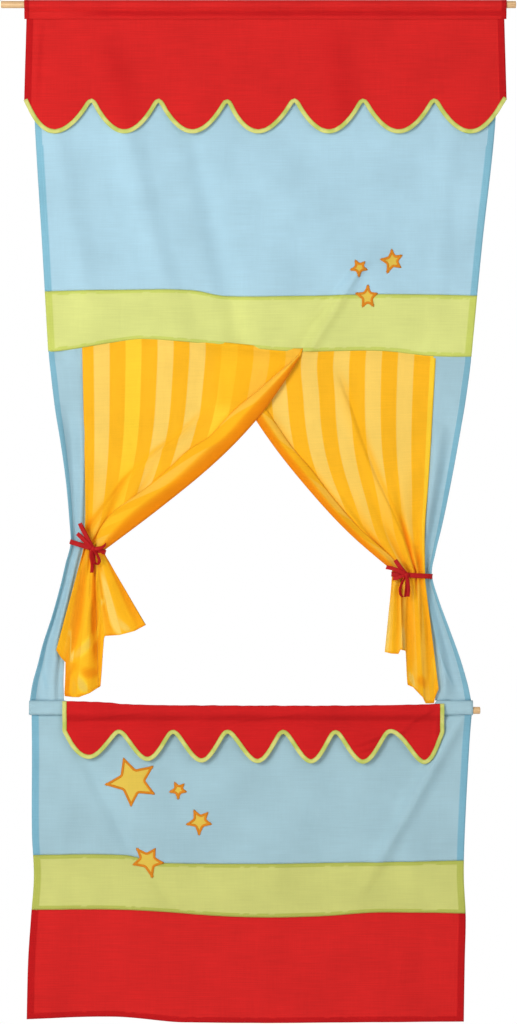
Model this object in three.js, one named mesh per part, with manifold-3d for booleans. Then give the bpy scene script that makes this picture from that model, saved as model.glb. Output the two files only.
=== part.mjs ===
// A puppet theatre sewn from cloth, hung in a doorway from a wooden rod.
// Millimetres. X runs along the rods, +Z is up and the audience sits on the -Y side.
// The origin is the middle of the top rod, on its axis.

import * as THREE from "three";
import { mergeVertices } from "three/addons/utils/BufferGeometryUtils.js";
import Module from "manifold-3d";

const wasm = await Module();
wasm.setup();

// Rods
const topRodLength = 860;
const topRodDiameter = 12;
const middleRodLength = 750;
const middleRodDiameter = 12;
const rodChamfer = 0.8;
const rodRunningGap = 0.3;

// Cloth stock and seams
const clothWidth = 805;
const clothThickness = 1.2;
const hemThickness = 1.8;
const hemWidth = 11;
const hemStep = 1.5;
const bandSeamWidth = 6;
const seamGap = 0.3;
const foldDepth = 5;

// Where a cloth swings from a seam, its edge thins out and keeps clear of what it hangs from
const bendEdgeThickness = 0.5;
const bendEdgeHeight = 0.6;
const pocketBendGap = 0.75;
const casingBendGap = 0.5;
const pocketFootChamfer = 0.5;

// Rod pocket and valance, which sit a little right of the rod's middle
const pocketShift = 11.5;
const pocketDrop = 20.7;
const pocketSeamHeight = 3;
const valanceHeight = 134;
const valanceScallopDepth = 57.5;
const valanceStandOff = 3;
const valanceCurl = 2.5;
const straightAboveScallops = 12;

// Upper cloth
const upperPanelHeight = 461;
const upperBandHeight = 93.5;
const windowHeight = 587;

// Curtains and ties
const curtainStandOff = 1.8;
const curtainCrossing = 1.8;
const gatherDepth = 15;
const gatherCentre = 11.5;
const gatheredStripThickness = 5;
const drapeFold = 2.5;
const tailFold = 6;
const tailThickness = 3;
const ribbonWidth = 8;
const ribbonThickness = 0.8;
const tieNeckHeight = 9;
const tailStartDrop = 1.5;
const bowRibbonWidth = 6;
const bowLoopDepth = 4;
const knotWidth = 9;
const knotHeight = 10;
const knotDepth = 8;

// Casing with the second rod, and the pelmet sewn to its front
const casingHeight = 24;
const casingDepth = 15;
const casingOverhang = 2.2;
const pelmetWidth = 635;
const pelmetShift = -8.6;
const pelmetRise = 7;
const pelmetHeight = 47;
const pelmetSideHeight = 38;
const pelmetScallopDepth = 53;
const pelmetCurl = 2;

// Lower cloth
const lowerPanelHeight = 241.5;
const lowerBandHeight = 88.5;
const bottomPanelHeight = 180.5;

// Binding tape folded round the scalloped edges
const tapeCover = 5.6;
const tapeThickness = 0.6;

// Stars
const patchThickness = 0.8;
const stitchThickness = 1.2;
const stitchWidth = 2.6;
const bigStarRadius = 45;
const middleStarRadius = 23.5;
const smallStarRadius = 16.5;
const seamStarRadius = 28.5;
const uprightStarRadius = 21.5;
const evenStarRadius = 21;

// Longer than any cut it is used for
const cutOverrun = 40;

// Counts
const rodSides = 24;
const pocketArcSteps = 12;
const scallopCount = 7;
const panelCells = 12;
const curtainCells = 20;
const tieSides = 24;
const loopSteps = 9;
const knotSides = 10;
const knotRings = 8;

// Heights of the seams, measured up from the rod's axis
const stitchLevel = -pocketDrop;
const pocketFoot = stitchLevel - pocketSeamHeight;
const upperBandTop = stitchLevel - upperPanelHeight;
const windowTop = upperBandTop - upperBandHeight;
const casingTop = windowTop - windowHeight;
const casingAxis = casingTop - casingHeight / 2;
const casingFoot = casingTop - casingHeight;
const lowerBandTop = casingFoot - lowerPanelHeight;
const bottomPanelTop = lowerBandTop - lowerBandHeight;
const bottomHem = bottomPanelTop - bottomPanelHeight;

// The valance and the blue cloth hang side by side from the double seam of the pocket
const panelPlane = (clothThickness + seamGap) / 2;
const valancePlane = -panelPlane;
const pelmetPlane = panelPlane - casingDepth / 2 - seamGap - clothThickness / 2 - seamGap - tapeThickness;

// The silhouette of the hanging cloth: how far down, then the left and right edge across.
// Down is a share of the way from stitching to casing, across a share of the cloth's width.
const upperEdgeShares = [
  [0, -0.472, 0.499],
  [0.155, -0.464, 0.491],
  [0.33, -0.449, 0.464],
  [0.49, -0.436, 0.442],
];
const lowerEdgeShares = [
  [0, -0.471, 0.443],
  [0.13, -0.47, 0.437],
  [0.4, -0.47, 0.428],
  [0.54, -0.466, 0.426],
  [0.67, -0.472, 0.43],
  [0.81, -0.478, 0.428],
  [1, -0.481, 0.426],
];

// How the seams wave: across the cloth, then up as a share of the band or panel beside the seam
const upperBandTopShares = [
  [-0.5, 0.02],
  [-0.3, 0.055],
  [-0.14, 0.05],
  [-0.07, -0.05],
  [0.1, -0.05],
  [0.27, -0.02],
  [0.5, -0.055],
];
const windowTopShares = [
  [-0.5, -0.04],
  [-0.42, -0.04],
  [-0.3, 0.12],
  [-0.24, 0.18],
  [-0.1, 0.09],
  [0.07, -0.04],
  [0.25, -0.03],
  [0.37, -0.13],
  [0.5, -0.13],
];
const lowerBandTopShares = [
  [-0.5, 0.11],
  [-0.28, 0.11],
  [-0.2, -0.03],
  [0.27, -0.03],
  [0.5, 0],
];
const bottomPanelTopShares = [
  [-0.5, 0.05],
  [-0.28, 0.05],
  [-0.05, -0.05],
  [0.12, -0.04],
  [0.25, 0.02],
  [0.5, 0],
];
const bottomHemShares = [
  [-0.5, 0.01],
  [-0.3, 0.035],
  [-0.15, -0.014],
  [0.5, 0],
];
const flatShares = [[0, 0]];

// Soft folds: across and down at the crest's start, the same at its end, width, depth.
// A positive depth comes forward. Across and width are shares of the cloth's width.
const upperFoldShares = [
  [-0.225, 0.16, -0.142, 0.4, 0.028, 0.45],
  [-0.15, 0.16, -0.05, 0.42, 0.03, -0.4],
  [0.205, 0.37, 0.09, 0.5, 0.02, 0.6],
  [0.31, 0.2, 0.27, 0.42, 0.045, -0.35],
];
const lowerFoldShares = [
  [0.42, 0.03, 0.25, 0.49, 0.03, 0.5],
  [-0.355, 0.18, -0.275, 0.46, 0.03, -0.35],
  [0.05, 0.3, 0.02, 0.95, 0.06, 0.4],
  [-0.2, 0.6, -0.22, 1, 0.05, -0.3],
];

// Along its crest a fold comes up over the first pair of shares and dies away over the second
const foldRiseShares = [-0.4, 0.2];
const foldEndShares = [0.8, 1.4];

// The side strips: down the window, then their outer and inner edge across the cloth
const leftStripShares = [
  [0, -0.436, -0.362],
  [0.16, -0.423, -0.358],
  [0.27, -0.41, -0.358],
  [0.38, -0.399, -0.36],
  [0.49, -0.392, -0.363],
  [0.61, -0.4, -0.377],
  [0.67, -0.41, -0.387],
  [0.76, -0.428, -0.401],
  [0.84, -0.447, -0.412],
  [0.895, -0.457, -0.41],
  [0.95, -0.468, -0.407],
  [1, -0.474, -0.406],
];
const rightStripShares = [
  [0, 0.442, 0.364],
  [0.16, 0.428, 0.358],
  [0.27, 0.414, 0.353],
  [0.38, 0.399, 0.347],
  [0.5, 0.381, 0.341],
  [0.58, 0.367, 0.338],
  [0.71, 0.373, 0.347],
  [0.8, 0.397, 0.362],
  [0.88, 0.418, 0.371],
  [0.95, 0.433, 0.373],
  [1, 0.441, 0.375],
];

// Each curtain: its outer and its free edge from the window's top to the tie, across and
// down, and its hem under the tie as the share of the way from the outer to the free edge
// with the place across and down.
const leftTie = {
  side: "left",
  stripShares: leftStripShares,
  outerShares: [
    [-0.366, 0],
    [-0.364, 0.12],
    [-0.362, 0.245],
    [-0.36, 0.365],
    [-0.359, 0.485],
    [-0.362, 0.552],
  ],
  freeShares: [
    [0.092, 0],
    [0.046, 0.107],
    [-0.013, 0.215],
    [-0.096, 0.33],
    [-0.204, 0.452],
    [-0.318, 0.57],
  ],
  hemShares: [
    [0, -0.418, 0.858],
    [0.1, -0.404, 0.889],
    [0.14, -0.398, 0.987],
    [0.3, -0.372, 0.99],
    [0.5, -0.331, 0.96],
    [0.56, -0.319, 0.821],
    [0.78, -0.277, 0.816],
    [1, -0.235, 0.782],
  ],
  crosses: true,
  stripNeckShares: [-0.39, -0.367],
};
const rightTie = {
  side: "right",
  stripShares: rightStripShares,
  outerShares: [
    [0.368, 0],
    [0.363, 0.136],
    [0.358, 0.258],
    [0.352, 0.386],
    [0.345, 0.514],
    [0.345, 0.64],
  ],
  freeShares: [
    [-0.09, 0],
    [-0.032, 0.144],
    [0.038, 0.287],
    [0.121, 0.426],
    [0.194, 0.531],
    [0.277, 0.629],
  ],
  hemShares: [
    [0, 0.368, 0.986],
    [0.2, 0.343, 0.99],
    [0.42, 0.318, 0.978],
    [0.5, 0.308, 0.958],
    [0.56, 0.302, 0.853],
    [0.8, 0.287, 0.864],
    [1, 0.262, 0.861],
  ],
  crosses: false,
  stripNeckShares: [0.3595, 0.335],
};

// Rows down a curtain to its tie, and down its tail, as shares of each
const drapeRowShares = [0, 0.12, 0.25, 0.37, 0.5, 0.6, 0.7, 0.8, 0.9, 1];
const tailRowShares = [0, 0.15, 0.35, 0.6, 0.8, 1];
const gatherStartShare = 0.36;
const seamBlendShare = 0.25;
const crossingShares = [0.3, 0.5];
const waistRoundShare = 0.7;
const waistFoldShare = 0.5;
const drapeFoldCount = 5;
const tailFoldCount = 4;

// Across a side strip, with close pairs where its hems end
const stripColumnShares = [0, 0.18, 0.22, 0.5, 0.78, 0.82, 1];
const stripHemShare = 0.2;

// Across one scallop, closer together near the cusps
const scallopColumnShares = [0, 0.06, 0.17, 0.32, 0.5, 0.68, 0.83, 0.94];
const valanceRoundnessShare = 0.8;
const pelmetRoundnessShare = 1.2;
const pelmetEndRoundnessShare = 0.75;

// A tape's corner is no longer than a corner this sharp would make it
const sharpestMitreShare = 0.5;

// Along a bow's loop, the part left out at each end inside the knot, and along its tail
const loopKnotShare = 0.06;
const bowTailShares = [0, 0.35, 0.7, 1];

// Bows: each loop's direction in degrees from +X towards +Z, its length, and the tails
const leftBow = {
  knotShare: -0.343,
  loops: [
    { turn: 118, length: 45 },
    { turn: 134, length: 34 },
    { turn: -75, length: 30 },
  ],
  tails: [{ turn: -93, length: 44 }],
};
const rightBow = {
  knotShare: 0.305,
  loops: [
    { turn: 133, length: 30 },
    { turn: 165, length: 33 },
    { turn: -100, length: 40 },
  ],
  tails: [{ turn: -84, length: 39 }],
};

// Outlines of the stars: the five outer points as shares of the star's radius
const wideStarShares = [[-0.3, 0.91], [0.84, 0.59], [0.9, -0.49], [-0.01, -0.96], [-1.01, -0.12]];
const leanStarShares = [[-0.45, 0.87], [0.64, 0.68], [0.92, -0.23], [-0.04, -1.08], [-1.02, -0.25]];
const turnedStarShares = [[-0.73, 0.76], [0.45, 0.76], [0.97, -0.15], [0.26, -1.09], [-0.95, -0.27]];
const uprightStarShares = [[-0.06, 0.98], [0.82, 0.48], [0.72, -0.57], [-0.45, -1.03], [-1.02, 0.14]];
const evenStarShares = [[0.06, 1.05], [0.87, 0.32], [0.54, -0.81], [-0.44, -0.87], [-1.02, 0.32]];
const starWaistShare = 0.6;

// Where each star sits: across the cloth, and down the upper or the lower cloth
const upperStars = [
  { outlineShares: uprightStarShares, radius: uprightStarRadius, placeShares: [0.278, 0.353] },
  { outlineShares: leanStarShares, radius: smallStarRadius, placeShares: [0.209, 0.363] },
  { outlineShares: evenStarShares, radius: evenStarRadius, placeShares: [0.226, 0.4055] },
];
const lowerStars = [
  { outlineShares: wideStarShares, radius: bigStarRadius, placeShares: [-0.264, 0.236] },
  { outlineShares: leanStarShares, radius: smallStarRadius, placeShares: [-0.166, 0.2625] },
  { outlineShares: leanStarShares, radius: middleStarRadius, placeShares: [-0.122, 0.363] },
  { outlineShares: turnedStarShares, radius: seamStarRadius, placeShares: [-0.229, 0.4885] },
];

// Colours of the cloths and the wood
const redCotton = { color: 0xd42426, roughness: 0.85, metalness: 0 };
const skyCotton = { color: 0xaed5e6, roughness: 0.85, metalness: 0 };
const limeCotton = { color: 0xd9e085, roughness: 0.85, metalness: 0 };
const limeTape = { color: 0xcdd36c, roughness: 0.8, metalness: 0 };
const yellowCotton = { color: 0xfabb33, roughness: 0.8, metalness: 0 };
const redRibbon = { color: 0xc41a1e, roughness: 0.6, metalness: 0 };
const starCotton = { color: 0xe6c44c, roughness: 0.85, metalness: 0 };
const orangeThread = { color: 0xe08a1e, roughness: 0.7, metalness: 0 };
const birch = { color: 0xe0b682, roughness: 0.6, metalness: 0 };

const lerp = THREE.MathUtils.lerp;
const smooth = THREE.MathUtils.smoothstep;
const group = new THREE.Group();

function addPiece(name, geometry, look) {
  geometry.computeVertexNormals();
  const mesh = new THREE.Mesh(geometry, new THREE.MeshStandardMaterial(look));
  mesh.name = name;
  group.add(mesh);
}

// The value at s in rows that start with their place, straight between two rows
function tableAt(rows, s, column) {
  const last = rows.length - 1;
  const next = rows.findIndex((row) => row[0] > s);
  if (next === 0) {
    return rows[0][column];
  }
  if (next < 0) {
    return rows[last][column];
  }
  const low = rows[next - 1];
  const high = rows[next];
  return lerp(low[column], high[column], (s - low[0]) / (high[0] - low[0]));
}

// A smooth curve through points that are evenly spread over s from 0 to 1
function curveAt(shares, s) {
  const curve = new THREE.SplineCurve(shares.map(([x, y]) => new THREE.Vector2(x, y)));
  return curve.getPoint(s);
}

// Solids from points and quads

// Faces point outwards, whichever way round they were listed
function closedGeometry(points, quads) {
  const faces = [];
  for (const [a, b, c, d] of quads) {
    faces.push([a, b, c]);
    faces.push([a, c, d]);
  }
  let volume = 0;
  for (const [a, b, c] of faces) {
    volume += points[a].dot(points[b].clone().cross(points[c]));
  }
  const outward = volume > 0 ? faces : faces.map(([a, b, c]) => [a, c, b]);
  const geometry = new THREE.BufferGeometry().setFromPoints(points);
  geometry.setIndex(outward.flat());
  return geometry;
}

// A slab between two lattices of points, given for column i and row j
function slabGeometry(columns, rows, frontAt, backAt) {
  const points = [];
  for (const pointAt of [frontAt, backAt]) {
    for (let j = 0; j <= rows; j += 1) {
      for (let i = 0; i <= columns; i += 1) {
        points.push(pointAt(i, j));
      }
    }
  }
  const down = columns + 1;
  const behind = down * (rows + 1);
  const quads = [];
  for (let j = 0; j < rows; j += 1) {
    for (let i = 0; i < columns; i += 1) {
      const a = j * down + i;
      quads.push([a, a + down, a + down + 1, a + 1]);
      quads.push([behind + a, behind + a + 1, behind + a + down + 1, behind + a + down]);
    }
    const left = j * down;
    const right = left + columns;
    quads.push([left + down, left, behind + left, behind + left + down]);
    quads.push([right, right + down, behind + right + down, behind + right]);
  }
  for (let i = 0; i < columns; i += 1) {
    const foot = rows * down + i;
    quads.push([i, i + 1, behind + i + 1, behind + i]);
    quads.push([foot + 1, foot, behind + foot, behind + foot + 1]);
  }
  return closedGeometry(points, quads);
}

// A section carried along a path; capQuads close its two ends
function sweptGeometry(sections, capQuads) {
  const size = sections[0].length;
  const points = sections.flat();
  const quads = [];
  for (let k = 0; k + 1 < sections.length; k += 1) {
    for (let i = 0; i < size; i += 1) {
      const next = (i + 1) % size;
      quads.push([k * size + i, k * size + next, (k + 1) * size + next, (k + 1) * size + i]);
    }
  }
  const end = (sections.length - 1) * size;
  for (const [a, b, c, d] of capQuads) {
    quads.push([d, c, b, a]);
    quads.push([end + a, end + b, end + c, end + d]);
  }
  return closedGeometry(points, quads);
}

function solidFrom(geometry) {
  const bare = geometry.clone();
  bare.deleteAttribute("normal");
  bare.deleteAttribute("uv");
  const merged = mergeVertices(bare);
  const vertProperties = Float32Array.from(merged.attributes.position.array);
  const triVerts = Uint32Array.from(merged.index.array);
  return new wasm.Manifold(new wasm.Mesh({ numProp: 3, vertProperties, triVerts }));
}

function geometryFrom(solid) {
  const mesh = solid.getMesh();
  const geometry = new THREE.BufferGeometry();
  geometry.setAttribute("position", new THREE.BufferAttribute(mesh.vertProperties, 3));
  geometry.setIndex(Array.from(mesh.triVerts));
  return geometry;
}

// An outline in the YZ plane drawn out along X
function drawnAlongX(outline, start, length) {
  const shape = new THREE.Shape(outline);
  const geometry = new THREE.ExtrudeGeometry(shape, { depth: length, bevelEnabled: false });
  const alongX = new THREE.Matrix4().makeBasis(
    new THREE.Vector3(0, 1, 0),
    new THREE.Vector3(0, 0, 1),
    new THREE.Vector3(1, 0, 0),
  );
  return geometry.applyMatrix4(alongX).translate(start, 0, 0);
}

// An outline in the XZ plane, drawn out both ways along Y
function drawnAlongY(outline, reach) {
  const shape = new THREE.Shape(outline);
  const geometry = new THREE.ExtrudeGeometry(shape, { depth: 2 * reach, bevelEnabled: false });
  return geometry.rotateX(Math.PI / 2).translate(0, reach, 0);
}

// The two cloths: above the casing's axis and below it

const upperCloth = {
  top: stitchLevel,
  height: stitchLevel - casingAxis,
  edgeShares: upperEdgeShares,
  foldShares: upperFoldShares,
};
const lowerCloth = {
  top: casingAxis,
  height: casingAxis - bottomHem,
  edgeShares: lowerEdgeShares,
  foldShares: lowerFoldShares,
};

function clothEdge(cloth, z, side) {
  return clothWidth * tableAt(cloth.edgeShares, (cloth.top - z) / cloth.height, side === "left" ? 1 : 2);
}

// Rods

function rodGeometry(length, diameter) {
  const radius = diameter / 2;
  const profile = [
    new THREE.Vector2(0, -length / 2),
    new THREE.Vector2(radius - rodChamfer, -length / 2),
    new THREE.Vector2(radius, rodChamfer - length / 2),
    new THREE.Vector2(radius, length / 2 - rodChamfer),
    new THREE.Vector2(radius - rodChamfer, length / 2),
    new THREE.Vector2(0, length / 2),
  ];
  return new THREE.LatheGeometry(profile, rodSides).rotateZ(-Math.PI / 2);
}

addPiece("top_rod", rodGeometry(topRodLength, topRodDiameter), birch);

const casingLeft = clothEdge(lowerCloth, casingFoot, "left") - casingOverhang;
const casingRight = clothEdge(lowerCloth, casingFoot, "right") + casingOverhang;
const casingLength = casingRight - casingLeft;
const middleRodLeft = casingLeft + clothThickness + seamGap;
const middleRodAxis = casingFoot + clothThickness + rodRunningGap + middleRodDiameter / 2;
const middleRod = rodGeometry(middleRodLength, middleRodDiameter);
middleRod.translate(middleRodLeft + middleRodLength / 2, panelPlane, middleRodAxis);
addPiece("middle_rod", middleRod, birch);

// Pocket round the top rod: a drop-shaped tunnel over a double seam

const pocketLeft = pocketShift - clothWidth / 2;
const pocketBoreRadius = topRodDiameter / 2 + rodRunningGap;
const pocketRadius = pocketBoreRadius + clothThickness;
const pocketSeamHalf = clothThickness + seamGap / 2;

// Over the rod and straight down to a tip of the given half width at the given drop
function dropArc(radius, tipDrop) {
  const start = Math.acos(radius / tipDrop) - Math.PI / 2;
  const points = [];
  for (let k = 0; k <= pocketArcSteps; k += 1) {
    const turn = lerp(start, Math.PI - start, k / pocketArcSteps);
    points.push(new THREE.Vector2(radius * Math.cos(turn), radius * Math.sin(turn)));
  }
  return points;
}

const pocketOutline = [
  new THREE.Vector2(-pocketSeamHalf, stitchLevel),
  new THREE.Vector2(-pocketSeamHalf, pocketFoot + pocketFootChamfer),
  new THREE.Vector2(pocketFootChamfer - pocketSeamHalf, pocketFoot),
  new THREE.Vector2(pocketSeamHalf - pocketFootChamfer, pocketFoot),
  new THREE.Vector2(pocketSeamHalf, pocketFoot + pocketFootChamfer),
  new THREE.Vector2(pocketSeamHalf, stitchLevel),
  ...dropArc(pocketRadius, pocketDrop),
];
const pocketBoreDrop = pocketDrop - clothThickness;
const pocketBore = [new THREE.Vector2(0, -pocketBoreDrop), ...dropArc(pocketBoreRadius, pocketBoreDrop)];
const pocketSolid = solidFrom(drawnAlongX(pocketOutline, pocketLeft, clothWidth));
const pocketCut = solidFrom(drawnAlongX(pocketBore, pocketLeft - cutOverrun, clothWidth + 2 * cutOverrun));
addPiece("rod_pocket", geometryFrom(pocketSolid.subtract(pocketCut)), redCotton);

// Casing round the middle rod: a flat tunnel, sewn shut at its left end

function tunnelOutline(depth, height) {
  const radius = depth / 2;
  const straight = height / 2 - radius;
  const points = [];
  for (let k = 0; k <= pocketArcSteps; k += 1) {
    const turn = (Math.PI * k) / pocketArcSteps;
    points.push([radius * Math.cos(turn), straight + radius * Math.sin(turn)]);
  }
  for (const [y, z] of points.slice()) {
    points.push([-y, -z]);
  }
  return points.map(([y, z]) => new THREE.Vector2(panelPlane + y, casingAxis + z));
}

const tunnelDepth = casingDepth - 2 * clothThickness;
const tunnelHeight = casingHeight - 2 * clothThickness;
const casingOutline = tunnelOutline(casingDepth, casingHeight);
const casingSolid = solidFrom(drawnAlongX(casingOutline, casingLeft, casingLength));
const casingCut = solidFrom(
  drawnAlongX(tunnelOutline(tunnelDepth, tunnelHeight), casingLeft + clothThickness, casingLength),
);
addPiece("rod_casing", geometryFrom(casingSolid.subtract(casingCut)), skyCotton);

// Flat sewn pieces: a sheet is a lattice of columns and rows between its four edges

// Columns and rows across a piece: a share of its width or height, a fixed inset from
// that place, and the cloth's thickness. Rows that bend are as thin across their hems.
function hemmedStations(cells, firstHem, lastHem, firstBends = false) {
  const stations = [];
  if (firstBends) {
    stations.push({ share: 0, inset: 0, thickness: bendEdgeThickness, bends: true });
    stations.push({ share: 0, inset: bendEdgeHeight, thickness: clothThickness, bends: true });
    stations.push({ share: 0, inset: bendEdgeHeight + hemStep, thickness: clothThickness });
  } else if (firstHem > 0) {
    stations.push({ share: 0, inset: 0, thickness: hemThickness });
    stations.push({ share: 0, inset: firstHem, thickness: hemThickness });
    stations.push({ share: 0, inset: firstHem + hemStep, thickness: clothThickness });
  } else {
    stations.push({ share: 0, inset: 0, thickness: clothThickness });
  }
  for (let k = 1; k < cells; k += 1) {
    stations.push({ share: k / cells, inset: 0, thickness: clothThickness });
  }
  if (lastHem > 0) {
    stations.push({ share: 1, inset: -lastHem - hemStep, thickness: clothThickness });
    stations.push({ share: 1, inset: -lastHem, thickness: hemThickness });
    stations.push({ share: 1, inset: 0, thickness: hemThickness });
  } else {
    stations.push({ share: 1, inset: 0, thickness: clothThickness });
  }
  return stations;
}

// The depth of the soft folds at a place across and down a cloth
function foldsAt(folds, across, down) {
  const [riseStart, riseEnd] = foldRiseShares;
  const [fallStart, fallEnd] = foldEndShares;
  let total = 0;
  for (const [startAcross, startDown, endAcross, endDown, width, depth] of folds) {
    const along = (down - startDown) / (endDown - startDown);
    const crest = lerp(startAcross, endAcross, along);
    const fade = smooth(along, riseStart, riseEnd) * (1 - smooth(along, fallStart, fallEnd));
    total -= foldDepth * depth * fade * Math.exp(-(((across - crest) / width) ** 2));
  }
  return total;
}

function clothDepth(cloth, x, z) {
  return panelPlane + foldsAt(cloth.foldShares, x / clothWidth, (cloth.top - z) / cloth.height);
}

// A seam's height at x: its level, and its wave as a share of the strip beside it
function seamAt(seam, x) {
  return seam.level + seam.strip * tableAt(seam.waveShares, x / clothWidth, 1);
}

const seams = {
  pocket: { level: pocketFoot, strip: upperPanelHeight, waveShares: flatShares },
  upperBandTop: { level: upperBandTop, strip: upperBandHeight, waveShares: upperBandTopShares },
  windowTop: { level: windowTop, strip: upperBandHeight, waveShares: windowTopShares },
  casingFoot: { level: casingFoot, strip: lowerPanelHeight, waveShares: flatShares },
  lowerBandTop: { level: lowerBandTop, strip: lowerBandHeight, waveShares: lowerBandTopShares },
  bottomPanelTop: { level: bottomPanelTop, strip: lowerBandHeight, waveShares: bottomPanelTopShares },
  bottomHem: { level: bottomHem, strip: bottomPanelHeight, waveShares: bottomHemShares },
};

// A panel of a cloth between two seams, grown by the given amounts for a cut
function panelGeometry(panel, grow = { front: 0, back: 0, edge: 0 }) {
  const columns = hemmedStations(panelCells, hemWidth, hemWidth);
  const rows = hemmedStations(panel.cells, panel.topHem, panel.footHem, panel.topBends);
  const top = { ...panel.topSeam, level: panel.topSeam.level - panel.topGap };
  const foot = { ...panel.footSeam, level: panel.footSeam.level + panel.footGap };
  const placeAt = (i, j, side) => {
    const column = columns[i];
    const row = rows[j];
    const acrossAt = (z) =>
      lerp(clothEdge(panel.cloth, z, "left"), clothEdge(panel.cloth, z, "right"), column.share);
    const levelX = acrossAt(lerp(top.level, foot.level, row.share));
    const seamZ = lerp(seamAt(top, levelX), seamAt(foot, levelX), row.share) - row.inset;
    const seamX = acrossAt(seamZ) + column.inset;
    const half = (row.bends ? row.thickness : Math.max(column.thickness, row.thickness)) / 2;
    const y = clothDepth(panel.cloth, seamX, seamZ);
    const outX = (column === columns.at(-1)) - (column === columns[0]);
    const outZ = (row === rows[0]) - (row === rows.at(-1));
    const offset = side === "front" ? -half - grow.front : half + grow.back;
    return new THREE.Vector3(seamX + outX * grow.edge, y + offset, seamZ + outZ * grow.edge);
  };
  return slabGeometry(
    columns.length - 1,
    rows.length - 1,
    (i, j) => placeAt(i, j, "front"),
    (i, j) => placeAt(i, j, "back"),
  );
}

const halfGap = seamGap / 2;
const panels = {
  upper_panel: {
    cloth: upperCloth,
    topSeam: seams.pocket,
    footSeam: seams.upperBandTop,
    topGap: pocketBendGap,
    footGap: halfGap,
    cells: 7,
    topBends: true,
    topHem: 0,
    footHem: 0,
    look: skyCotton,
  },
  upper_band: {
    cloth: upperCloth,
    topSeam: seams.upperBandTop,
    footSeam: seams.windowTop,
    topGap: halfGap,
    footGap: halfGap,
    cells: 3,
    topHem: bandSeamWidth,
    footHem: bandSeamWidth,
    look: limeCotton,
  },
  lower_panel: {
    cloth: lowerCloth,
    topSeam: seams.casingFoot,
    footSeam: seams.lowerBandTop,
    topGap: seamGap,
    footGap: halfGap,
    cells: 5,
    topHem: 0,
    footHem: 0,
    look: skyCotton,
  },
  lower_band: {
    cloth: lowerCloth,
    topSeam: seams.lowerBandTop,
    footSeam: seams.bottomPanelTop,
    topGap: halfGap,
    footGap: halfGap,
    cells: 3,
    topHem: bandSeamWidth,
    footHem: bandSeamWidth,
    look: limeCotton,
  },
  bottom_panel: {
    cloth: lowerCloth,
    topSeam: seams.bottomPanelTop,
    footSeam: seams.bottomHem,
    topGap: halfGap,
    footGap: 0,
    cells: 3,
    topHem: 0,
    footHem: bandSeamWidth,
    look: redCotton,
  },
};
for (const [name, panel] of Object.entries(panels)) {
  addPiece(name, panelGeometry(panel), panel.look);
}

// Scalloped pieces: the valance under the pocket and the pelmet before the casing

function scallopedEdge(piece) {
  const pitch = piece.width / scallopCount;
  const edge = [];
  const add = (scallop, share) => {
    const isEnd = (scallop === 0 && share < 0.5) || (scallop === scallopCount - 1 && share > 0.5);
    const roundness = isEnd ? piece.endRoundnessShare : piece.roundnessShare;
    const start = isEnd ? piece.endLevel : piece.cuspLevel;
    const bottom = piece.cuspLevel - piece.scallopDepth;
    const drop = Math.sin(Math.PI * share) ** roundness;
    edge.push(new THREE.Vector2(piece.left + pitch * (scallop + share), lerp(start, bottom, drop)));
  };
  for (let scallop = 0; scallop < scallopCount; scallop += 1) {
    for (const share of scallopColumnShares) {
      add(scallop, share);
    }
  }
  add(scallopCount - 1, 1);
  return edge;
}

// The cloth's depth is straight down within reach of the tape, so tape and cloth agree
function scallopedDepth(piece, x, z) {
  const share = (x - piece.left) / (piece.width / scallopCount);
  const wave = (1 - Math.cos(2 * Math.PI * share)) / 2;
  const fall = smooth((piece.top - z) / (piece.top - piece.straightLevel), 0, 1);
  return piece.plane - fall * (piece.standOff + piece.curl * wave);
}

// The last row has no height of its own: it is the scalloped edge
function scallopedGeometry(piece) {
  const rows = [
    { z: piece.top, thickness: bendEdgeThickness },
    { z: piece.top - bendEdgeHeight, thickness: clothThickness },
    ...piece.rowShares.map((share) => ({
      z: lerp(piece.top, piece.straightLevel, share),
      thickness: clothThickness,
    })),
    { thickness: clothThickness },
  ];
  const placeAt = (i, j, side) => {
    const { x, y: edgeZ } = piece.edge[i];
    const { z = edgeZ, thickness } = rows[j];
    return new THREE.Vector3(x, scallopedDepth(piece, x, z) + (side * thickness) / 2, z);
  };
  return slabGeometry(
    piece.edge.length - 1,
    rows.length - 1,
    (i, j) => placeAt(i, j, -1),
    (i, j) => placeAt(i, j, 1),
  );
}

// The tape's section is a U that runs along the edge and grips it
function bindingGeometry(piece) {
  const path = piece.bindingPath;
  const slotHalf = clothThickness / 2 + seamGap;
  const outerHalf = slotHalf + tapeThickness;
  const sections = path.map((point, k) => {
    const before = path[Math.max(k - 1, 0)];
    const after = path[Math.min(k + 1, path.length - 1)];
    const into = k === 0 ? point.clone() : before.clone();
    const out = k === path.length - 1 ? point.clone() : after.clone();
    const first = point.clone().sub(into).normalize();
    const second = out.sub(point).normalize();
    const along = first.clone().add(second).normalize();
    const inward = new THREE.Vector2(-along.y, along.x);
    const bend = along.dot(second.lengthSq() > 0 ? second : first);
    const stretch = 1 / Math.max(bend, sharpestMitreShare);
    if (piece.plumbEnds && (k === 0 || k === path.length - 1)) {
      inward.set(0, 1);
    }
    const at = (reach, y) => {
      const x = point.x + inward.x * reach * stretch;
      const z = point.y + inward.y * reach * stretch;
      return new THREE.Vector3(x, y + tableAt(piece.depthRows, x, 1), z);
    };
    return [
      at(tapeCover, -outerHalf),
      at(-seamGap - tapeThickness, -outerHalf),
      at(-seamGap - tapeThickness, outerHalf),
      at(tapeCover, outerHalf),
      at(tapeCover, slotHalf),
      at(-seamGap, slotHalf),
      at(-seamGap, -slotHalf),
      at(tapeCover, -slotHalf),
    ];
  });
  return sweptGeometry(sections, [[0, 1, 6, 7], [1, 2, 5, 6], [2, 3, 4, 5]]);
}

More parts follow.
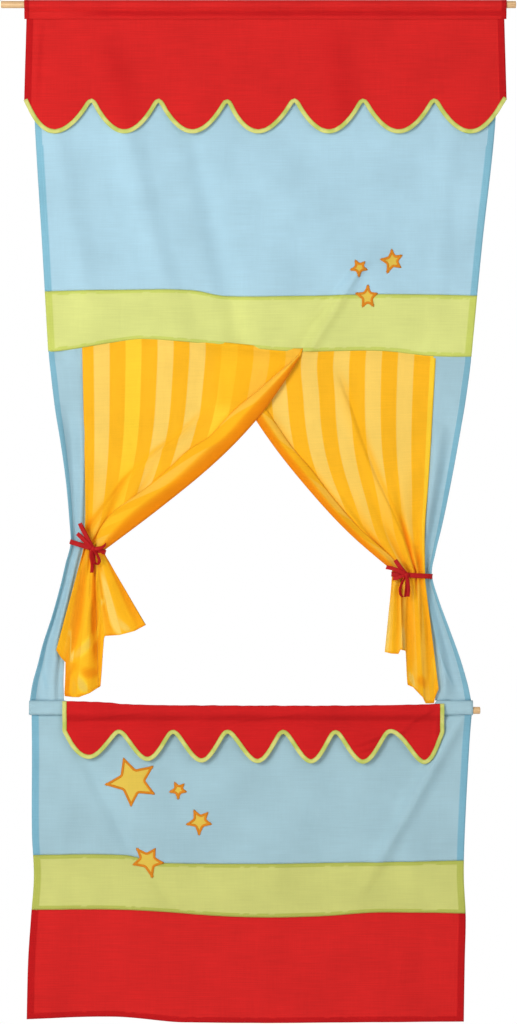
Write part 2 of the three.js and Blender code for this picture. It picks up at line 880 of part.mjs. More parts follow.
const valance = {
  plane: valancePlane,
  left: pocketLeft,
  width: clothWidth,
  top: pocketFoot - pocketBendGap,
  cuspLevel: pocketFoot - valanceHeight,
  endLevel: pocketFoot - valanceHeight,
  scallopDepth: valanceScallopDepth,
  straightLevel: pocketFoot - valanceHeight + straightAboveScallops,
  roundnessShare: valanceRoundnessShare,
  endRoundnessShare: valanceRoundnessShare,
  rowShares: [0.35, 0.7, 1],
  standOff: valanceStandOff,
  curl: valanceCurl,
  plumbEnds: true,
};
valance.edge = scallopedEdge(valance);
valance.bindingPath = valance.edge;

const pelmetTop = casingAxis + pelmetRise;
const pelmet = {
  plane: pelmetPlane,
  left: pelmetShift - pelmetWidth / 2,
  width: pelmetWidth,
  top: pelmetTop,
  cuspLevel: pelmetTop - pelmetHeight,
  endLevel: pelmetTop - pelmetSideHeight,
  scallopDepth: pelmetScallopDepth,
  straightLevel: pelmetTop - pelmetHeight + straightAboveScallops,
  roundnessShare: pelmetRoundnessShare,
  endRoundnessShare: pelmetEndRoundnessShare,
  rowShares: [0.6, 1],
  standOff: 0,
  curl: pelmetCurl,
  plumbEnds: false,
};
pelmet.edge = scallopedEdge(pelmet);
pelmet.bindingPath = [
  new THREE.Vector2(pelmet.left, pelmet.top),
  ...pelmet.edge,
  new THREE.Vector2(pelmet.left + pelmet.width, pelmet.top),
];
for (const piece of [valance, pelmet]) {
  piece.depthRows = piece.edge.map(({ x }) => [x, scallopedDepth(piece, x, piece.straightLevel)]);
}

addPiece("valance", scallopedGeometry(valance), redCotton);
addPiece("valance_binding", bindingGeometry(valance), limeTape);
addPiece("pelmet", scallopedGeometry(pelmet), redCotton);
addPiece("pelmet_binding", bindingGeometry(pelmet), limeTape);

// Stars: patches and their satin-stitched borders, laid on the faces of the panels

function starOutline(star) {
  const outer = star.outlineShares.map(([x, z]) => new THREE.Vector2(x, z));
  const outline = [];
  outer.forEach((tip, k) => {
    const next = outer[(k + 1) % outer.length];
    outline.push(tip.clone());
    outline.push(tip.clone().add(next).multiplyScalar(starWaistShare / 2));
  });
  return outline.map((point) => point.multiplyScalar(star.radius).add(star.centre)).reverse();
}

// An outline moved inwards, with its corners kept sharp
function insetOutline(outline, inset) {
  const count = outline.length;
  return outline.map((point, k) => {
    const into = point.clone().sub(outline[(k + count - 1) % count]).normalize();
    const out = outline[(k + 1) % count].clone().sub(point).normalize();
    const along = into.clone().add(out).normalize();
    const inward = new THREE.Vector2(-along.y, along.x);
    return point.clone().addScaledVector(inward, inset / along.dot(out));
  });
}

// What lies before the panels, from one distance of their faces to another
function layerBefore(names, near, far) {
  const grown = (front, back) =>
    names
      .map((name) => solidFrom(panelGeometry(panels[name], { front, back, edge: seamGap })))
      .reduce((all, solid) => all.add(solid));
  return grown(far, -clothThickness / 2).subtract(grown(near, near));
}

function addStars(stars, names, cloth, firstNumber) {
  const patchLayer = layerBefore(names, seamGap, seamGap + patchThickness);
  const stitchLayer = layerBefore(names, seamGap, seamGap + stitchThickness);
  stars.forEach((star, k) => {
    const [across, down] = star.placeShares;
    const centre = new THREE.Vector2(across * clothWidth, cloth.top - down * cloth.height);
    const outline = starOutline({ ...star, centre });
    const prism = (inset) => solidFrom(drawnAlongY(insetOutline(outline, inset), cutOverrun));
    const patch = prism(stitchWidth + halfGap).intersect(patchLayer);
    const border = prism(0).subtract(prism(stitchWidth - halfGap)).intersect(stitchLayer);
    addPiece(`star_patch_${firstNumber + k}`, geometryFrom(patch), starCotton);
    addPiece(`star_border_${firstNumber + k}`, geometryFrom(border), orangeThread);
  });
}

addStars(upperStars, ["upper_panel", "upper_band"], upperCloth, 1);
addStars(lowerStars, ["lower_panel", "lower_band"], lowerCloth, 1 + upperStars.length);

// The stage window: side strips, curtains and their ties

function windowAt([across, down]) {
  return new THREE.Vector2(across * clothWidth, windowTop - down * windowHeight);
}

// The rows of a strip, with a straight neck where the ribbon goes round it
function stripRows(tie) {
  const [neckOuter, neckInner] = tie.stripNeckShares;
  const neck = tieHeightAt(tie, ((neckOuter + neckInner) / 2) * clothWidth);
  const rows = tie.stripShares.map(([down, outer, inner]) => ({
    z: windowTop - down * windowHeight,
    outer: outer * clothWidth,
    inner: inner * clothWidth,
    thickness: clothThickness,
  }));
  for (const side of [1, -1]) {
    rows.push({
      z: neck + (side * tieNeckHeight) / 2,
      outer: neckOuter * clothWidth,
      inner: neckInner * clothWidth,
      thickness: gatheredStripThickness,
      isNeck: true,
    });
  }
  return rows.sort((a, b) => b.z - a.z);
}

// The ribbon's middle line, level with the waist of the curtain from edge to edge
function tieHeightAt(tie, x) {
  const outer = windowAt(tie.outerShares.at(-1));
  const free = windowAt(tie.freeShares.at(-1));
  return lerp(outer.y, free.y, (x - outer.x) / (free.x - outer.x)) - tieNeckHeight / 2;
}

// A strip hangs from the seam over the window and thins out just above the casing
function stripGeometry(tie) {
  const rows = stripRows(tie);
  const foot = rows.pop();
  const bendTop = casingTop + casingBendGap + bendEdgeHeight;
  rows.push({ ...foot, z: bendTop + hemStep });
  rows.push({ ...foot, z: bendTop, bends: true });
  rows.push({ ...foot, z: casingTop + casingBendGap, thickness: bendEdgeThickness, bends: true });
  const placeAt = (i, j, side) => {
    const share = stripColumnShares[i];
    const row = rows[j];
    const x = lerp(row.outer, row.inner, share);
    const z = j === 0 ? seamAt(seams.windowTop, x) - halfGap : row.z;
    const isHem = !row.bends && (share < stripHemShare || share > 1 - stripHemShare);
    const thickness = Math.max(row.thickness, isHem ? hemThickness : 0);
    return new THREE.Vector3(x, panelPlane + (side * thickness) / 2, z);
  };
  return slabGeometry(
    stripColumnShares.length - 1,
    rows.length - 1,
    (i, j) => placeAt(i, j, -1),
    (i, j) => placeAt(i, j, 1),
  );
}

// A curtain runs from the window's top through the tie to the hem, in two pieces that meet
// inside the ribbon. A point is given by its share across from the outer to the free edge,
// and by its row.
function drapePoint(tie, across, share) {
  const [crossingStart, crossingEnd] = crossingShares;
  const outer = windowAt(curveAt(tie.outerShares, share));
  const free = windowAt(curveAt(tie.freeShares, share));
  const place = outer.lerp(free, across);
  const seamWave = seamAt(seams.windowTop, place.x) - halfGap - windowTop;
  place.y += seamWave * (1 - smooth(share, 0, seamBlendShare));
  const gather = smooth(share, gatherStartShare, 1);
  const crossing = tie.crosses ? curtainCrossing * smooth(across, crossingStart, crossingEnd) : 0;
  const middle = lerp(curtainStandOff + crossing, gatherCentre, gather);
  const roundness = Math.sqrt(1 - waistRoundShare * (2 * across - 1) ** 2);
  const half = lerp(clothThickness, gatherDepth * roundness, gather) / 2;
  const swell = drapeFold * gather * (1 - waistFoldShare * gather);
  const fold = swell * Math.cos(2 * Math.PI * drapeFoldCount * across);
  return { place, middle, half, fold, shared: 1 - gather };
}

// The neck is straight: the waist carried down
function neckPoint(tie, across, drop) {
  const neck = drapePoint(tie, across, 1);
  neck.place.y -= drop;
  return neck;
}

function tailPoint(tie, across, share) {
  const neck = neckPoint(tie, across, tieNeckHeight);
  const place = neck.place.clone();
  const hem = windowAt([tableAt(tie.hemShares, across, 1), tableAt(tie.hemShares, across, 2)]);
  place.lerp(hem, share);
  const spread = smooth(share, 0, 1);
  const half = lerp(neck.half, tailThickness / 2, spread);
  const tailWave = tailFold * Math.cos(2 * Math.PI * tailFoldCount * across);
  const fold = lerp(neck.fold, tailWave, spread);
  return { place, middle: gatherCentre, half, fold, shared: spread };
}

const drapeRows = [
  ...drapeRowShares.map((share) => ({ pointAt: drapePoint, at: share })),
  { pointAt: neckPoint, at: tailStartDrop - seamGap },
];
const tailRows = [
  { pointAt: neckPoint, at: tailStartDrop },
  ...tailRowShares.map((share) => ({ pointAt: tailPoint, at: share })),
];

function curtainGeometry(tie, rows) {
  const placeAt = (i, j, side) => {
    const across = i / curtainCells;
    const { pointAt, at } = rows[j];
    const { place, middle, half, fold, shared } = pointAt(tie, across, at);
    const wave = side < 0 ? fold : fold * shared;
    return new THREE.Vector3(place.x, panelPlane - middle - wave + side * half, place.y);
  };
  return slabGeometry(
    curtainCells,
    rows.length - 1,
    (i, j) => placeAt(i, j, -1),
    (i, j) => placeAt(i, j, 1),
  );
}

// The section that the ribbon goes round: the curtain's waist and the neck of the strip
function tiedPoints(tie) {
  const points = [];
  for (let i = 0; i <= curtainCells; i += 1) {
    const { place, middle, half, fold } = drapePoint(tie, i / curtainCells, 1);
    points.push(new THREE.Vector2(place.x, panelPlane - middle - fold - half));
    points.push(new THREE.Vector2(place.x, panelPlane - middle + half));
  }
  for (const row of stripRows(tie).filter((candidate) => candidate.isNeck)) {
    for (const side of [-1, 1]) {
      points.push(new THREE.Vector2(row.outer, panelPlane + (side * row.thickness) / 2));
      points.push(new THREE.Vector2(row.inner, panelPlane + (side * row.thickness) / 2));
    }
  }
  return points;
}

// A loop of straight stretches drawn tight round the points, kept off them by a gap
function loopRound(points, gap) {
  const lines = [];
  for (let k = 0; k < tieSides; k += 1) {
    const turn = (2 * Math.PI * k) / tieSides;
    const normal = new THREE.Vector2(Math.cos(turn), Math.sin(turn));
    lines.push({ normal, reach: gap + Math.max(...points.map((point) => point.dot(normal))) });
  }
  return lines.map(({ normal, reach }, k) => {
    const next = lines[(k + 1) % tieSides];
    const cross = normal.x * next.normal.y - normal.y * next.normal.x;
    const x = (reach * next.normal.y - next.reach * normal.y) / cross;
    const y = (normal.x * next.reach - next.normal.x * reach) / cross;
    return new THREE.Vector2(x, y);
  });
}

function tieBand(tie) {
  const points = tiedPoints(tie);
  const inner = loopRound(points, seamGap);
  const outer = loopRound(points, seamGap + ribbonThickness);
  const sections = [...inner.keys(), 0].map((k) => {
    const corner = (ring, side) => {
      const { x, y } = ring[k];
      return new THREE.Vector3(x, y, tieHeightAt(tie, x) + (side * ribbonWidth) / 2);
    };
    return [corner(inner, -1), corner(outer, -1), corner(outer, 1), corner(inner, 1)];
  });
  return { geometry: sweptGeometry(sections, []), outer };
}

// One stretch of ribbon along a path in the plane of a direction and the depth
function ribbonGeometry(path, turn, root, width) {
  const along = new THREE.Vector3(Math.cos(turn), 0, Math.sin(turn));
  const across = new THREE.Vector3(-Math.sin(turn), 0, Math.cos(turn));
  const forward = new THREE.Vector3(0, -1, 0);
  const sections = path.map((point, k) => {
    const before = path[Math.max(k - 1, 0)];
    const after = path[Math.min(k + 1, path.length - 1)];
    const heading = after.clone().sub(before).normalize();
    const normal = new THREE.Vector2(-heading.y, heading.x);
    const at = (side, lift) => {
      const flat = point.clone().addScaledVector(normal, (lift * ribbonThickness) / 2);
      const place = root.clone().addScaledVector(along, flat.x).addScaledVector(forward, flat.y);
      return place.addScaledVector(across, (side * width) / 2);
    };
    return [at(-1, -1), at(1, -1), at(1, 1), at(-1, 1)];
  });
  return sweptGeometry(sections, [[0, 1, 2, 3]]);
}

// A loop runs out and back, round at its tip and pinched in the knot
function loopPath(length) {
  const path = [];
  for (let k = 0; k <= loopSteps; k += 1) {
    const turn = lerp(loopKnotShare, 1 - loopKnotShare, k / loopSteps) * 2 * Math.PI;
    const reach = (length / 2) * (1 - Math.cos(turn));
    const lift = (bowLoopDepth / 2) * Math.sin(turn);
    path.push(new THREE.Vector2(reach, lift));
  }
  return path;
}

function tailPath(length) {
  return bowTailShares.map((share) => {
    const sag = bowLoopDepth * share * (1 - share);
    return new THREE.Vector2(length * share, -sag);
  });
}

function bowGeometry(tie, bow, band) {
  const x = bow.knotShare * clothWidth;
  const front = Math.min(...band.outer.map((point) => point.y));
  const root = new THREE.Vector3(x, front - seamGap - knotDepth / 2, tieHeightAt(tie, x));
  const knot = new THREE.SphereGeometry(1, knotSides, knotRings);
  knot.scale(knotWidth / 2, knotDepth / 2, knotHeight / 2);
  let solid = solidFrom(knot.translate(root.x, root.y, root.z));
  for (const { turn, length } of bow.loops) {
    const radians = THREE.MathUtils.degToRad(turn);
    solid = solid.add(solidFrom(ribbonGeometry(loopPath(length), radians, root, bowRibbonWidth)));
  }
  for (const { turn, length } of bow.tails) {
    const radians = THREE.MathUtils.degToRad(turn);
    solid = solid.add(solidFrom(ribbonGeometry(tailPath(length), radians, root, bowRibbonWidth)));
  }
  return geometryFrom(solid);
}

for (const [tie, bow] of [[leftTie, leftBow], [rightTie, rightBow]]) {
  const band = tieBand(tie);
  addPiece(`${tie.side}_side_strip`, stripGeometry(tie), skyCotton);
  addPiece(`${tie.side}_curtain`, curtainGeometry(tie, drapeRows), yellowCotton);
  addPiece(`${tie.side}_curtain_tail`, curtainGeometry(tie, tailRows), yellowCotton);
  addPiece(`${tie.side}_tie_band`, band.geometry, redRibbon);
  addPiece(`${tie.side}_tie_bow`, bowGeometry(tie, bow, band), redRibbon);
}

export default group;
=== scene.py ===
# A puppet theatre sewn from cloth, which hangs in a doorway from a wooden rod.
# Metres. X runs along the rods, +Z is up and the audience sits on the -Y side.
# Across is a share of the cloth's width, down is a share of a cloth or of the window.

import functools
import math

import bmesh
import bpy
from mathutils import Matrix, Vector, noise


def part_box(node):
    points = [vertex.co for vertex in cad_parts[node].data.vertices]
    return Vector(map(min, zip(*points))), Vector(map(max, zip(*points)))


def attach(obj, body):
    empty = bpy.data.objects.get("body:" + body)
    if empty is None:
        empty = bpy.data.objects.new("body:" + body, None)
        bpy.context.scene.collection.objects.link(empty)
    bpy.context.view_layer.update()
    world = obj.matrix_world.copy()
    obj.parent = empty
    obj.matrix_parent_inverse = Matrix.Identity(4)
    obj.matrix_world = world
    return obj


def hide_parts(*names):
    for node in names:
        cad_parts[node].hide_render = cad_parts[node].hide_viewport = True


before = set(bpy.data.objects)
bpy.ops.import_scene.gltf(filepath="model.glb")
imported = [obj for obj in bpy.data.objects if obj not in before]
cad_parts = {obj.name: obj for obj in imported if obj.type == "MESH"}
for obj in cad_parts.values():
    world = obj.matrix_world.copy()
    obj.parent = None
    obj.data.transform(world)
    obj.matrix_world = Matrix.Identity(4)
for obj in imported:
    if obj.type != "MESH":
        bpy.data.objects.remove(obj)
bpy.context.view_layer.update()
mm = 0.001

# Heights of the seams, measured up from the top rod's axis
levels = {
    "stitch": -20.7 * mm,
    "pocketFoot": -23.7 * mm,
    "upperBandTop": -481.7 * mm,
    "windowTop": -575.2 * mm,
    "casingTop": -1162.2 * mm,
    "casingAxis": -1174.2 * mm,
    "casingFoot": -1186.2 * mm,
    "lowerBandTop": -1427.7 * mm,
    "bottomPanelTop": -1516.2 * mm,
    "bottomHem": -1696.7 * mm,
}
windowHeight = levels["windowTop"] - levels["casingTop"]

cloth = {
    "width": 805 * mm,
    "plane": 0.75 * mm,  # the middle of the hanging cloth
    "thickness": 0.55 * mm,
    "cell": 3.6 * mm,  # the grid of a flat sheet
    "hemWidth": 11 * mm,
    "bandSeamWidth": 6 * mm,
    "foldDepth": 9 * mm,
    "seamDip": 0.9 * mm,
    "puckerDepth": 0.35 * mm,
    "puckerLength": 17 * mm,
    "dipReach": 2.5 * mm,
    "puckerReach": 14 * mm,
    "hemSlack": 0.2 * mm,
}


# Small helpers

def lerp(a, b, share):
    return a + (b - a) * share


def ease(value, start=0.0, end=1.0):
    share = min(1.0, max(0.0, (value - start) / (end - start)))
    return share * share * (3 - 2 * share)


def hump(distance, width):
    return math.exp(-((distance / width) ** 2))


def evenly(count):
    return [k / count for k in range(count + 1)]


# The value at a place in rows that start with their place, smooth through every row
def tableAt(rows, place, column=1):
    if place <= rows[0][0]:
        return rows[0][column]
    if place >= rows[-1][0]:
        return rows[-1][column]
    k = next(index for index, row in enumerate(rows) if row[0] > place) - 1
    low, high = rows[k], rows[k + 1]
    before, after = rows[max(k - 1, 0)], rows[min(k + 2, len(rows) - 1)]
    span = high[0] - low[0]
    slopeIn = (high[column] - before[column]) / (high[0] - before[0]) * span
    slopeOut = (after[column] - low[column]) / (after[0] - low[0]) * span
    t = (place - low[0]) / span
    rise = lerp(low[column], high[column], t * t * (3 - 2 * t))
    return rise + slopeIn * (t * (1 - t) ** 2) - slopeOut * (t * t * (1 - t))


# The same in straight steps, for a hem with corners
def lineAt(rows, place, column=1):
    for low, high in zip(rows, rows[1:]):
        if place <= high[0]:
            return lerp(low[column], high[column], (place - low[0]) / (high[0] - low[0]))
    return rows[-1][column]


# A smooth curve through points that are evenly spread from 0 to 1
def splineAt(points, share):
    last = len(points) - 1
    place = min(max(share, 0.0), 1.0) * last
    k = min(int(place), last - 1)
    t = place - k
    a, b = Vector(points[max(k - 1, 0)]), Vector(points[k])
    c, d = Vector(points[k + 1]), Vector(points[min(k + 2, last)])
    into, out = (c - a) / 2, (d - b) / 2
    cubic, square = 2 * b - 2 * c + into + out, 3 * c - 3 * b - 2 * into - out
    return cubic * t**3 + square * t**2 + into * t + b


def lengthsAlong(points):
    lengths = [0.0]
    for a, b in zip(points, points[1:]):
        lengths.append(lengths[-1] + (b - a).length)
    return lengths


def ripple(x, z, wide, tall, seed):
    return noise.noise(Vector((x / wide, z / tall, seed)))


# Shares along a sheet, about a cell apart, with a close pair of lines where a hem ends
def stations(length, cell, firstHem=0.0, lastHem=0.0, step=0.8 * mm):
    count = max(2, round(length / cell))
    forced = []
    if firstHem:
        forced += [firstHem / length, (firstHem + step) / length]
    if lastHem:
        forced += [1 - (lastHem + step) / length, 1 - lastHem / length]
    apart = 0.4 / count
    kept = [s for s in evenly(count) if s in (0.0, 1.0) or all(abs(s - f) > apart for f in forced)]
    return sorted(kept + forced)


# Whether a place that lies so far from an edge is in its hem
def inHem(gap, hem):
    return hem > 0 and gap < hem + cloth["hemSlack"]


# Makes a smooth piece. One without a flat cloth of its own takes its front view for it.
def newPiece(name, bm, frontView=False):
    uvLayer = bm.loops.layers.uv.new("cloth") if frontView else None
    for face in bm.faces:
        face.smooth = True
        for loop in face.loops if frontView else ():
            loop[uvLayer].uv = (loop.vert.co.x, loop.vert.co.z)
    mesh = bpy.data.meshes.new(name)
    bm.to_mesh(mesh)
    bm.free()
    piece = bpy.data.objects.new(name, mesh)
    bpy.context.scene.collection.objects.link(piece)
    return piece


# A sheet is a grid whose points are placed one by one. place gives a point, where the
# point lay on the flat cloth, and how far the cloth is doubled or painted in shade there, from 0 to 1.
def makeSheet(name, columns, rows, place, thickness=cloth["thickness"], closeAround=False):
    bm = bmesh.new()
    across, down = len(columns) - 1, len(rows) - 1
    bmesh.ops.create_grid(bm, x_segments=across, y_segments=down, size=0.5)
    uvLayer = bm.loops.layers.uv.new("cloth")
    layersAndShadeLayer = bm.verts.layers.float.new("layersAndShade")
    flatAt = {}
    for vert in bm.verts:
        i = round((vert.co.x + 0.5) * across)
        j = round((0.5 - vert.co.y) * down)
        vert.co, flatAt[vert.index], vert[layersAndShadeLayer] = place(columns[i], rows[j])
    bm.verts.index_update()
    for face in bm.faces:
        for loop in face.loops:
            loop[uvLayer].uv = flatAt[loop.vert.index]
    if closeAround:
        bmesh.ops.remove_doubles(bm, verts=bm.verts, dist=0.02 * mm)
        bmesh.ops.recalc_face_normals(bm, faces=bm.faces)
    piece = newPiece(name, bm)
    thicken(piece, thickness)
    return piece


# Gives the sheet its thickness, twice as much where the cloth is doubled or deeply painted in shade
def thicken(piece, thickness):
    weights = [0.0] * len(piece.data.vertices)
    piece.data.attributes["layersAndShade"].data.foreach_get("value", weights)
    group = piece.vertex_groups.new(name="thickness")
    for level in (0.5, 1.0):
        chosen = [k for k, value in enumerate(weights) if (value > 0.5) == (level > 0.5)]
        group.add(chosen, level, "REPLACE")
    solidify = piece.modifiers.new("thickness", "SOLIDIFY")
    solidify.thickness = 2 * thickness
    solidify.offset = 0
    solidify.vertex_group = group.name


# Materials

def hexColour(text):
    channels = [int(text[k:k + 2], 16) / 255 for k in (1, 3, 5)]
    linear = [c / 12.92 if c <= 0.04045 else ((c + 0.055) / 1.055) ** 2.4 for c in channels]
    return (*linear, 1.0)


def addNode(tree, kind, inputs=None, **settings):
    node = tree.nodes.new("ShaderNode" + kind)
    for key, value in settings.items():
        setattr(node, key, value)
    for socket, value in (inputs or {}).items():
        if isinstance(value, bpy.types.NodeSocket):
            tree.links.new(value, node.inputs[socket])
        else:
            node.inputs[socket].default_value = value
    return node


def maths(tree, operation, *values):
    return addNode(tree, "Math", dict(enumerate(values)), operation=operation).outputs[0]


def sineOf(tree, place, turns):
    return maths(tree, "SINE", maths(tree, "MULTIPLY", place, turns))


def ranged(tree, value, low=0.0, high=1.0, toLow=0.0, toHigh=1.0):
    limits = {"From Min": low, "From Max": high, "To Min": toLow, "To Max": toHigh}
    return addNode(tree, "MapRange", {0: value, **limits}).outputs[0]


def noiseAt(tree, place, scale=1.0, detail=2.0):
    inputs = {"Vector": place, "Scale": scale, "Detail": detail}
    return addNode(tree, "TexNoise", inputs).outputs[0]


def mixColours(tree, factor, *colours):
    first, second = [hexColour(c) if isinstance(c, str) else c for c in colours]
    return addNode(tree, "Mix", {0: factor, 6: first, 7: second}, data_type="RGBA").outputs[2]


def setBump(tree, shader, height, strength, distance):
    inputs = {"Height": height, "Strength": strength, "Distance": distance}
    tree.links.new(addNode(tree, "Bump", inputs).outputs[0], shader.inputs["Normal"])


def flatCloth(tree):
    return addNode(tree, "UVMap", uv_map="cloth").outputs[0]


def layersAndShadeShare(tree):
    return addNode(tree, "Attribute", attribute_name="layersAndShade").outputs["Fac"]


def newMaterial(name, roughness, sheen=0.0, specular=0.3):
    material = bpy.data.materials.new(name)
    material.use_nodes = True
    shader = material.node_tree.nodes["Principled BSDF"]
    shader.inputs["Roughness"].default_value = roughness
    shader.inputs["Sheen Weight"].default_value = sheen
    shader.inputs["Sheen Roughness"].default_value = 0.5
    shader.inputs["Specular IOR Level"].default_value = specular
    return material, material.node_tree, shader


weave = {
    "threadSpacing": 1.3 * mm,  # real thread lies 0.4 mm apart, drawn coarser so that it shows
    "slubLength": 55 * mm,
    "slubWidth": 1.7 * mm,
    "patchSize": 90 * mm,
    "slubContrast": 0.065,
    "warpShare": 0.4,  # of the contrast of the slubs along the weft
    "patchContrast": 0.05,
    "threadContrast": 0.035,
    "bumpDepth": 0.12 * mm,
}


# The pattern of a plain weave on the flat cloth: threads, slubs and broad unevenness.
# Returns the height of the threads and how bright the cloth is, about 1.
def weavePattern(tree, flat, settings):
    split = addNode(tree, "SeparateXYZ", {0: flat}).outputs
    turns = 2 * math.pi / settings["threadSpacing"]
    threads = maths(tree, "MULTIPLY", sineOf(tree, split[0], turns), sineOf(tree, split[1], turns))
    long, wide = 1 / settings["slubLength"], 1 / settings["slubWidth"]
    slubs = []
    for scale, share in (((long, wide, 1), 1.0), ((wide, long, 1), settings["warpShare"])):
        stretched = addNode(tree, "Mapping", {"Vector": flat, "Scale": scale}).outputs[0]
        most = share * settings["slubContrast"] / 2
        slubs.append(ranged(tree, noiseAt(tree, stretched), 0.35, 0.75, -most, most))
    uneven = settings["patchContrast"]
    broad = noiseAt(tree, flat, 1 / settings["patchSize"])
    patches = ranged(tree, broad, 0.3, 0.7, 1 - uneven, 1 + uneven)
    both = maths(tree, "ADD", *slubs)
    fine = maths(tree, "MULTIPLY_ADD", threads, settings["threadContrast"], both)
    height = maths(tree, "MULTIPLY_ADD", both, 6.0, threads)
    return height, maths(tree, "ADD", fine, patches)


# Colours the shader with a colour made brighter and darker by the weave, with its bump
def finishCloth(tree, shader, colour, flat, **changes):
    height, bright = weavePattern(tree, flat, {**weave, **changes})
    toned = addNode(tree, "HueSaturation", {"Value": bright, "Color": colour})
    tree.links.new(toned.outputs[0], shader.inputs["Base Color"])
    setBump(tree, shader, height, 0.6, weave["bumpDepth"])


# Plain woven cotton: matt, with slubs, and deeper in colour where it is doubled, because
# less light comes through two layers, and where a shade is painted in creases, valleys and beside wrinkles
def wovenCotton(name, single, layersAndShade, slubContrast=0.06):
    material, tree, shader = newMaterial(name, roughness=0.88, sheen=0.02, specular=0.08)
    colour = mixColours(tree, layersAndShadeShare(tree), single, layersAndShade)
    finishCloth(tree, shader, colour, flatCloth(tree), slubContrast=slubContrast)
    return material


stripes = {
    "width": 26.7 * mm,
    "softness": 0.07,
    "deep": "#F7B41F",
    "pale": "#F5CB60",
    "bright": "#FACC32",
    "gathered": "#FBB416",
    "foldsAndShade": "#EC8500",
    "against": "#E9C258",
    # between which values of the attribute for layers and painted shade each tone comes in, and how much
    # of it at most
    "tones": {"gathered": (0.0, 0.55, 0.92), "foldsAndShade": (0.45, 1.0, 1.0), "against": (0.0, -1.0, 1.0)},
}


# Thin cotton woven in stripes: they run down the cloth. Where the attribute rises the cloth is
# painted deeper orange, for layers that hold back light and as painted shade in folds and
# valleys. The bright stripes are those whose middles are given. Below 0 the attribute stands
# for single cloth that hangs free against the light.
def stripedCotton(name, firstEdge, brightMiddles):
    material, tree, shader = newMaterial(name, roughness=0.8, sheen=0.04, specular=0.12)
    flat = flatCloth(tree)
    across = addNode(tree, "SeparateXYZ", {0: flat}).outputs[0]
    wave = sineOf(tree, maths(tree, "ADD", across, -firstEdge), math.pi / stripes["width"])
    pale = hexColour(stripes["pale"])
    for middle in brightMiddles:
        apart = maths(tree, "ABSOLUTE", maths(tree, "ADD", across, -middle))
        within = maths(tree, "LESS_THAN", apart, stripes["width"])
        pale = mixColours(tree, within, pale, stripes["bright"])
    mask = ranged(tree, wave, -stripes["softness"], stripes["softness"])
    colour = mixColours(tree, mask, stripes["deep"], pale)
    layers = layersAndShadeShare(tree)
    for tone, (low, high, most) in stripes["tones"].items():
        share = ranged(tree, layers, low, high, 0.0, most)
        colour = mixColours(tree, share, colour, stripes[tone])
    finishCloth(tree, shader, colour, flat, slubContrast=0.05)
    return material


# Bias tape: cotton cut on the slant and folded, with two edges pressed flat. Broad random
# patches of it are darkened greener, a painted shade, and its front edge is coloured greener.
def biasTape(name, colour, shaded, edge):
    material, tree, shader = newMaterial(name, roughness=0.85, sheen=0.05, specular=0.15)
    flat = flatCloth(tree)
    slanted = addNode(tree, "Mapping", {"Vector": flat, "Rotation": (0, 0, math.radians(45))})
    uneven = ranged(tree, noiseAt(tree, flat, 1 / (26 * mm), 1.0), 0.42, 0.6)
    toned = mixColours(tree, uneven, colour, shaded)
    toned = mixColours(tree, layersAndShadeShare(tree), toned, edge)
    finishCloth(tree, shader, toned, slanted.outputs[0])
    return material


# Satin ribbon: smooth, with fine ribs across and a soft sheen
def satinRibbon(name, colour):
    material, tree, shader = newMaterial(name, roughness=0.55, specular=0.14)
    finishCloth(tree, shader, hexColour(colour), flatCloth(tree), slubLength=12 * mm)
    return material


# Satin stitch: bright parallel threads that lie side by side across a border. Real thread
# is half as wide, drawn coarser so that it shows.
def satinStitch(name, colour, dark, spacing=0.9 * mm):
    material, tree, shader = newMaterial(name, roughness=0.55, specular=0.2)
    along = addNode(tree, "SeparateXYZ", {0: flatCloth(tree)}).outputs[0]
    wave = sineOf(tree, along, 2 * math.pi / spacing)
    toned = mixColours(tree, ranged(tree, wave, -1.0, 1.0, 0.15), dark, colour)
    tree.links.new(toned, shader.inputs["Base Color"])
    setBump(tree, shader, wave, 0.7, 0.15 * mm)
    return material


# Birch dowel: pale and close-grained, with faint streaks along the rod
def birchDowel(name, pale, dark, streak=(90 * mm, 1.1 * mm, 1.1 * mm)):
    material, tree, shader = newMaterial(name, roughness=0.55, specular=0.35)
    place = addNode(tree, "TexCoord").outputs["Object"]
    scale = [1 / length for length in streak]
    stretched = addNode(tree, "Mapping", {"Vector": place, "Scale": scale})
    grain = noiseAt(tree, stretched.outputs[0], detail=4.0)
    toned = mixColours(tree, ranged(tree, grain, 0.35, 0.7), pale, dark)
    tree.links.new(toned, shader.inputs["Base Color"])
    setBump(tree, shader, grain, 0.4, 0.1 * mm)
    return material


materials = {
    "redCotton": wovenCotton("redCotton", "#D42524", "#BE181B", slubContrast=0.13),
    "redTrim": wovenCotton("redCottonPelmet", "#CC1F20", "#B8181A", slubContrast=0.1),
    "skyCotton": wovenCotton("skyCottonUpper", "#ABCFDF", "#84BACE"),
    # the lower sky and lime cotton are darker copies and the strips' cotton a greyer copy of the same
    # cotton: painted shade towards the bottom and in the window
    "shadedSkyCotton": wovenCotton("skyCottonLower", "#A3C4CF", "#7DB3C8"),
    "stripCotton": wovenCotton("skyCottonStrips", "#A4C5D1", "#7FB2C5"),
    "limeCotton": wovenCotton("limeCottonUpper", "#D5DA84", "#C6CF66"),
    "shadedLimeCotton": wovenCotton("limeCottonLower", "#CBCD78", "#B4BA58"),
    "leftStripes": stripedCotton("stripedCottonLeft", 19 * mm, (86 * mm, 246 * mm)),
    "rightStripes": stripedCotton("stripedCottonRight", 35.7 * mm, (-4 * mm,)),
    "limeTape": biasTape("limeBiasTape", "#D6D67C", "#BFC864", "#A5AD45"),
    "redRibbon": satinRibbon("redSatinRibbon", "#B81619"),
    "starCotton": wovenCotton("starCotton", "#DFBF4F", "#DFBF4F"),
    "orangeStitch": satinStitch("orangeSatinStitch", "#EC921A", "#C8720C"),
    "birch": birchDowel("birchDowel", "#E9C493", "#CF9E68"),
}
print("materials:", len(materials))


